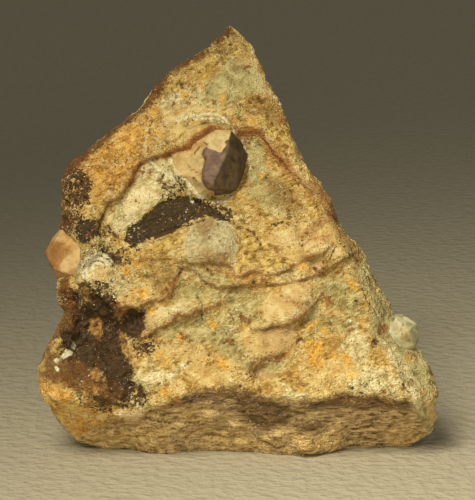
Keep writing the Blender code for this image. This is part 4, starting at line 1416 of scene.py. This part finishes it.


# %% Flecks
# Limonite dots, dark pits and pale feldspar grains lie in the soaked ground, and finer grits lie
# over everything; the pale grits are partly pale grains and partly painted glints. Each kind is
# where a small noise is high, and the noise of the clouds lets it gather. Each row has its size,
# detail, limits, strength and colour.
FLECKS = [
    (1.9 * MM, 3.0, 0.61, 0.69, 0.60, "cf9c44"),
    (1.1 * MM, 3.0, 0.64, 0.69, 0.70, "85551f"),
    (0.55 * MM, 2.0, 0.66, 0.70, 0.80, "563814"),
    (0.9 * MM, 3.0, 0.61, 0.68, 0.60, "f0e2b4"),
]
GRITS = [
    (0.8 * MM, 2.0, 0.67, 0.71, 0.45, "b8904e"),
    (0.5 * MM, 1.0, 0.70, 0.74, 0.75, "eadcb4"),
    (0.7 * MM, 2.0, 0.68, 0.71, 0.75, "4a2c12"),
]
FLECK_SHIFT = (0.031, 0.017)


def lay_flecks(tree, flecks, place, clouds, colour, seed):
    """Lay kinds of fleck over a colour, gathered by the clouds."""
    for index, (size, detail, low, high, strength, code) in enumerate(flecks):
        shift = (FLECK_SHIFT[0] * (index + 1), FLECK_SHIFT[1] * seed, 0.0)
        moved = add(tree, "ShaderNodeMapping", {"Vector": place, "Location": shift})
        field = add(tree, "ShaderNodeTexNoise", {"Vector": moved.outputs[0],
                                                 "Scale": 1.0 / size, "Detail": detail,
                                                 "Distortion": 0.6})
        total = grain_sum(tree, -0.15, [(clouds, 0.30), (field, 1.0)])
        mask = add(tree, "ShaderNodeMapRange", {"Value": total.outputs[0], "From Min": low,
                                                "From Max": high, "To Max": strength})
        flecked = add(tree, "ShaderNodeMix", {0: mask.outputs[0], 6: colour,
                                              7: srgb(code)}, data_type="RGBA")
        colour = flecked.outputs[2]
    return colour


def lay_relief(tree, low, high, strength, code, colour):
    """Tint the points whose hollowness lies past a limit."""
    hollow = add(tree, "ShaderNodeAttribute", attribute_name="hollow")
    mask = add(tree, "ShaderNodeMapRange", {"Value": hollow.outputs["Fac"], "From Min": low,
                                            "From Max": high, "To Max": strength})
    shaded = add(tree, "ShaderNodeMix", {0: mask.outputs[0], 6: colour, 7: srgb(code)},
                 data_type="RGBA")
    return shaded.outputs[2]


# %% All the layers in order
# Ridges get a painted highlight before the dark stains are laid, and hollows a painted shade over
# everything. Each has the hollowness in mm where it begins and is full, its strength and its
# colour.
RIDGE_HIGHLIGHT = (-0.03, -0.16, 0.45, "ead9a8")
HOLLOW_SHADE = (0.04, 0.22, 0.55, "4a3016")
colour = lay_stains(tree, SOAKED, colour)
colour = lay_flecks(tree, FLECKS, place, broad, colour, 1)
colour = lay_relief(tree, *RIDGE_HIGHLIGHT, colour)
colour = lay_stains(tree, CALM, colour)
colour = lay_stains(tree, LAID_OVER, colour)
colour = lay_flecks(tree, GRITS, place, broad, colour, 2)
colour = lay_relief(tree, *HOLLOW_SHADE, colour)
print("layers:", len(SOAKED) + len(CALM) + len(LAID_OVER), "stains,",
      len(FLECKS) + len(GRITS), "kinds of fleck")

# %% Fine relief
# Broken clay and sand scatter light, so the rock has no gloss at all.
ROCK_RELIEF = 0.28 * MM
ROCK_ROUGHNESS = 0.88
relief = grain_sum(tree, grain.outputs["Distance"], [(fine, 1.2)])
bump = add(tree, "ShaderNodeBump", {"Height": relief.outputs[0], "Strength": 1.0,
                                    "Distance": ROCK_RELIEF})
tree.links.new(colour, shader.inputs["Base Color"])
tree.links.new(bump.outputs[0], shader.inputs["Normal"])
shader.inputs["Roughness"].default_value = ROCK_ROUGHNESS
rock.data.materials.append(rock_material)
print("rock material nodes:", len(tree.nodes))

# %% [markdown]
# ## The crystals
# Leucite grew as trapezohedra with flat, kite-shaped faces. A sphere cut flat face by face would
# give them too, but the frame's solids already have them in their right places. So each crystal
# is a copy of its solid, a little larger so that it fills its socket. Its edges are worn round
# with a bevel, and its faces are divided finely enough to take a shallow surface of their own.

# %% Crystal copies
SOCKET_FILLS = {"main_crystal": 0.50, "left_crystal": 0.30, "right_crystal": 0.20}
EDGE_WEAR = 0.16 * MM
EDGE_STEPS = 2
EDGE_ANGLE = math.radians(12.0)


def crystal_copy(node, name, cuts):
    """A frame crystal, slightly grown, with worn edges and finely divided faces."""
    piece = copy_solid(node, name)
    grow(piece, SOCKET_FILLS[node] * MM)
    pick(piece)
    modifier = piece.modifiers.new("wear", "BEVEL")
    modifier.width = EDGE_WEAR
    modifier.segments = EDGE_STEPS
    modifier.limit_method = "ANGLE"
    modifier.angle_limit = EDGE_ANGLE
    bpy.ops.object.modifier_apply(modifier=modifier.name)
    bpy.ops.object.mode_set(mode="EDIT")
    bpy.ops.mesh.select_all(action="SELECT")
    bpy.ops.mesh.subdivide(number_cuts=cuts)
    bpy.ops.object.mode_set(mode="OBJECT")
    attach(piece, "root")
    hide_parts(node)
    return piece


dark_crystal = crystal_copy("main_crystal", "dark_crystal", 12)
cream_crystal = crystal_copy("left_crystal", "cream_crystal", 8)
green_crystal = crystal_copy("right_crystal", "green_crystal", 8)
print("crystal vertices:", len(dark_crystal.data.vertices), len(cream_crystal.data.vertices),
      len(green_crystal.data.vertices))

# %% [markdown]
# ## The dark crystal's skin
# The whole crystal once had a thin skin stained dark by iron and manganese. Its upper left broke
# off with the skin, down to the cream feldspar inside. A second shell could stand for the skin,
# but its edge would show as a gap. So the bare part is sunk by the skin's thickness, and the
# outlines on the plan that say where also carry the colours.

# %% Skin outlines
SKIN_PATCHES = {
    "skin": [(232, 130), (235, 134), (241, 140), (248, 154), (248, 168), (247, 183),
             (232, 200), (222, 204), (209, 200), (215, 195), (214, 192), (207, 190),
             (203, 184), (203, 174), (204, 166), (206, 158), (201, 155), (203, 149),
             (206, 146), (209, 149), (212, 149), (216, 150), (218, 152), (222, 152),
             (224, 148), (227, 144), (225, 141), (231, 137)],
}
# The purple face is the skin's own mauve, painted lighter as a painted sheen.
PURPLE_SHEEN_PATCHES = {
    "face": [(203, 146), (212, 149), (219, 151), (225, 151), (225, 157), (222, 163),
             (217, 175), (213, 188), (204, 190), (200, 180), (200, 170), (203, 160)],
}
TOP_CREAM_PATCHES = {
    "top": [(206, 138), (213, 132), (229, 129), (232, 131), (231, 137), (225, 141),
            (227, 144), (224, 148), (222, 152), (218, 152), (216, 150), (212, 149),
            (209, 149), (207, 145), (209, 142)],
    "low_left": [(174, 160), (184, 166), (191, 173), (199, 180), (205, 188), (214, 194),
                 (206, 198), (196, 190), (184, 177)],
    "broken": [(184, 160), (191, 155), (198, 150), (204, 145), (203, 156), (201, 166),
               (203, 173), (196, 171), (188, 165)],
}
print("skin outlines:", len(SKIN_PATCHES) + len(PURPLE_SHEEN_PATCHES) + len(TOP_CREAM_PATCHES))

# %% Stains and cracks on the dark crystal
ORANGE_PATCHES = {
    "low_left": [(186, 163), (194, 167), (202, 170), (203, 178), (198, 177), (190, 170)],
    "upper_left": [(186, 150), (200, 140), (208, 135), (205, 143), (196, 150), (188, 156)],
}
# Painted shade: the crystal's right face and its foot are painted darker, where they turn from the
# light.
PAINTED_SHADE_PATCHES = {
    "right": [(232, 130), (235, 134), (241, 140), (249, 154), (249, 168), (247, 184), (240, 190),
              (237, 178), (239, 164), (236, 150), (229, 144), (230, 137)],
    "foot": [(216, 193), (228, 192), (236, 190), (230, 201), (220, 205), (213, 199)],
}
FISSURE_LINES = {
    "low": (0.16, [(186, 164), (190, 169), (196, 172), (203, 177)]),
    "high": (0.22, [(193, 154), (195, 150), (199, 146)]),
    "middle": (0.14, [(199, 158), (203, 156), (206, 157)]),
    "edge": (0.26, [(204, 178), (203, 168), (206, 158), (204, 150)]),
    "notch": (0.30, [(203, 142), (208, 142)]),
    "specks": (0.22, [(192, 179), (196, 182)]),
}
print("stains and cracks:", len(ORANGE_PATCHES) + len(PAINTED_SHADE_PATCHES), len(FISSURE_LINES))

# %% Break the skin
# Heights and sizes are in millimetres, and the tear is in plan units. The bare part is uneven,
# and the whole crystal is a little uneven too.
SKIN_THICKNESS, SKIN_EDGE, OFF_SKIN = 0.35, 0.12, -3.0
TEAR, TEAR_SIZE, TEAR_SEEDS = 0.8, 0.6, (51.0, 53.0)
BROKEN_HEIGHT, BROKEN_MEAN, BROKEN_SIZE, BROKEN_SEED = 0.34, 0.6, 1.6, 57.0
UNEVEN_HEIGHT, UNEVEN_SIZE, UNEVEN_SEED = 0.06, 0.9, 61.0
FRONT_LIMIT = -0.1
points = read_points(dark_crystal)
normals = read_points(dark_crystal, "normal")
plan, out = plan_of(points)
torn_plan = plan + np.stack([TEAR * noise_field(points, TEAR_SIZE, seed)
                             for seed in TEAR_SEEDS], axis=1)
faces_front = normals @ sheet_out > FRONT_LIMIT
skin = np.where(faces_front, family_depth(torn_plan, SKIN_PATCHES), OFF_SKIN)
bare = rise(SKIN_EDGE, -SKIN_EDGE, skin)
sunk = SKIN_THICKNESS * bare
sunk += BROKEN_HEIGHT * bare * (BROKEN_MEAN + noise_field(points, BROKEN_SIZE, BROKEN_SEED))
sunk += UNEVEN_HEIGHT * noise_field(points, UNEVEN_SIZE, UNEVEN_SEED)
write_points(dark_crystal, points - normals * (sunk * MM)[:, None])
store(dark_crystal, "skin", skin)
for name, patches in (("purple_sheen", PURPLE_SHEEN_PATCHES), ("painted_shade", PAINTED_SHADE_PATCHES)):
    store(dark_crystal, name, np.where(faces_front, family_depth(plan, patches), OFF_SKIN))
for name, patches in (("top_cream", TOP_CREAM_PATCHES), ("orange", ORANGE_PATCHES)):
    store(dark_crystal, name, family_depth(torn_plan, patches))
store(dark_crystal, "fissure", vein_depth(torn_plan, FISSURE_LINES))
print("bare share of the dark crystal:", round(float(bare.mean()), 2))

# %% The stained left crystal
RUSTY_PATCHES = {
    "upper_facet": [(60, 240), (70, 247), (64, 257), (59, 266), (60, 276), (52, 270),
                    (40, 262), (40, 244)],
}
# The inner facet is painted lighter, a painted highlight where it faces the light.
LIT_FACET_PATCHES = {
    "inner_facet": [(66, 257), (74, 251), (84, 248), (82, 258), (75, 268), (62, 274), (58, 267)],
}
STAIN_TEAR, STAIN_SIZE, STAIN_SEEDS = 1.2, 0.9, (63.0, 67.0)
points = read_points(cream_crystal)
plan, out = plan_of(points)
torn_plan = plan + np.stack([STAIN_TEAR * noise_field(points, STAIN_SIZE, seed)
                             for seed in STAIN_SEEDS], axis=1)
store(cream_crystal, "rusty", family_depth(torn_plan, RUSTY_PATCHES))
store(cream_crystal, "lit_facet", family_depth(torn_plan, LIT_FACET_PATCHES))
print("left crystal's stains:", len(RUSTY_PATCHES) + len(LIT_FACET_PATCHES))

# %% The pitted right crystal
PIT_SPOTS = [(392, 319, 2.6)]
PIT_LINES = {
    "high": (0.12, [(404, 322), (401, 328), (402, 334)]),
    "low": (0.12, [(407, 340), (411, 343), (414, 342)]),
}
HEART_PATCHES = {
    "heart": [(398, 328), (406, 326), (412, 334), (410, 345), (402, 342)],
}
PIT_DEPTH, PIT_FROM, PIT_TO = 0.3, -0.2, 0.3
WORN_HEIGHT, WORN_SIZE, WORN_SEED = 0.2, 1.6, 69.0
SHADE_ANGLE = math.radians(14.0)
points = read_points(green_crystal)
normals = read_points(green_crystal, "normal")
plan, out = plan_of(points)
pits = np.maximum(spot_depth(plan, PIT_SPOTS), vein_depth(plan, PIT_LINES))
sunk = PIT_DEPTH * rise(PIT_FROM, PIT_TO, pits)
sunk += WORN_HEIGHT * noise_field(points, WORN_SIZE, WORN_SEED)
write_points(green_crystal, points - normals * (sunk * MM)[:, None])
store(green_crystal, "pits", pits)
store(green_crystal, "heart", family_depth(plan, HEART_PATCHES))
for piece in (dark_crystal, cream_crystal, green_crystal):
    pick(piece)
    bpy.ops.object.shade_smooth_by_angle(angle=SHADE_ANGLE)
print("right crystal's pits:", len(PIT_SPOTS) + len(PIT_LINES))

# %% [markdown]
# ## The crystals' feldspar
# All three are the same stuff, feldspar in fine grains, as it replaced the leucite. Its IOR is
# near the shader's own. Iron stains one cream and orange under a dark skin, which is denser and
# gives the eye a faint sheen; its left face is the skin's mauve painted lighter as a painted
# sheen, and its right face and foot are painted darker as painted shade. The left one is clean
# cream feldspar with a rusty face, and a painted highlight on its inner facet. The right one is
# green-grey with a tan heart, and the dullest. One image for each would do, but patchy noise
# about two millimetres wide, and grain of half a millimetre, hold from every side.

# %% Crystal materials
# Piece, material name, slot name, dark and light tone, roughness, and the stain families in
# laying order: attribute, dark, light, softness, raggedness, strength.
PATCH_SIZE, FELDSPAR_GRAIN, FELDSPAR_RELIEF = 2.0 * MM, 0.5 * MM, 0.08 * MM
PATCH_LOW, PATCH_HIGH = 0.35, 0.65
CRYSTALS = [
    (dark_crystal, "iron_stained_feldspar", "crystal_skin", "b48c52", "e8ca92", 0.62, [
        ("orange", "ac7c40", "d8ac6c", 0.3, 0.9, 0.65),
        ("top_cream", "b69a62", "e4ce98", 0.1, 0.5, 0.85),
        ("skin", "403222", "7c684c", 0.05, 0.1, 1.00),
        # The next row lightens the left face as a painted sheen, and the one after darkens the
        # right face and foot as painted shade.
        ("purple_sheen", "5c443a", "9a7c6a", 0.12, 0.3, 0.90),
        ("painted_shade", "2e2318", "5c4a34", 0.3, 0.6, 0.75),
        ("fissure", "5a3a20", "8a6440", 0.1, 0.3, 0.80),
    ]),
    (cream_crystal, "cream_feldspar", "cream_crystal", "b8894a", "dcb880", 0.60, [
        # The next row lightens the inner facet as a painted highlight.
        ("lit_facet", "d0a668", "f0d29a", 0.1, 0.3, 0.90),
        ("rusty", "86501e", "c08c4c", 0.5, 1.0, 0.85),
    ]),
    (green_crystal, "green_grey_feldspar", "grey_crystal", "86835c", "d6cea8", 0.70, [
        ("heart", "94794a", "dcc58e", 0.4, 2.4, 0.80),
        ("pits", "4a3620", "7a5c36", 0.25, 0.5, 0.70),
    ]),
]
for piece, name, slot, dark, light, roughness, stains in CRYSTALS:
    material, tree, shader = new_material(name)
    coords = add(tree, "ShaderNodeTexCoord")
    place = coords.outputs["Object"]
    patchy = add(tree, "ShaderNodeTexNoise", {"Vector": place, "Scale": 1.0 / PATCH_SIZE,
                                              "Detail": 6.0, "Roughness": 0.72,
                                              "Distortion": 0.4})
    fine = add(tree, "ShaderNodeTexNoise", {"Vector": place, "Scale": 1.0 / FELDSPAR_GRAIN,
                                            "Detail": 3.0})
    contrast = add(tree, "ShaderNodeMapRange", {"Value": patchy.outputs[0],
                                                "From Min": PATCH_LOW,
                                                "From Max": PATCH_HIGH})
    tone = add(tree, "ShaderNodeMix", {0: contrast.outputs[0], 6: srgb(dark), 7: srgb(light)},
               data_type="RGBA")
    table = [(family, fine, patchy, *rest) for family, *rest in stains]
    colour = lay_stains(tree, table, tone.outputs[2])
    bump = add(tree, "ShaderNodeBump", {"Height": fine.outputs[0], "Strength": 0.6,
                                        "Distance": FELDSPAR_RELIEF})
    tree.links.new(colour, shader.inputs["Base Color"])
    tree.links.new(bump.outputs[0], shader.inputs["Normal"])
    shader.inputs["Roughness"].default_value = roughness
    piece.data.materials.append(material)
    print(name, "has", len(tree.nodes), "nodes")

# %% [markdown]
# ## Size
# Carving must not change how large the specimen is. So the box of the finished pieces is kept
# beside the box of the frame's solids, which was read first.

# %% Sizes
low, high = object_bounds()
print("visual box grew by mm:",
      [round((a - b) / MM, 2) for a, b in zip(cad_low, low)],
      [round((b - a) / MM, 2) for a, b in zip(cad_high, high)])
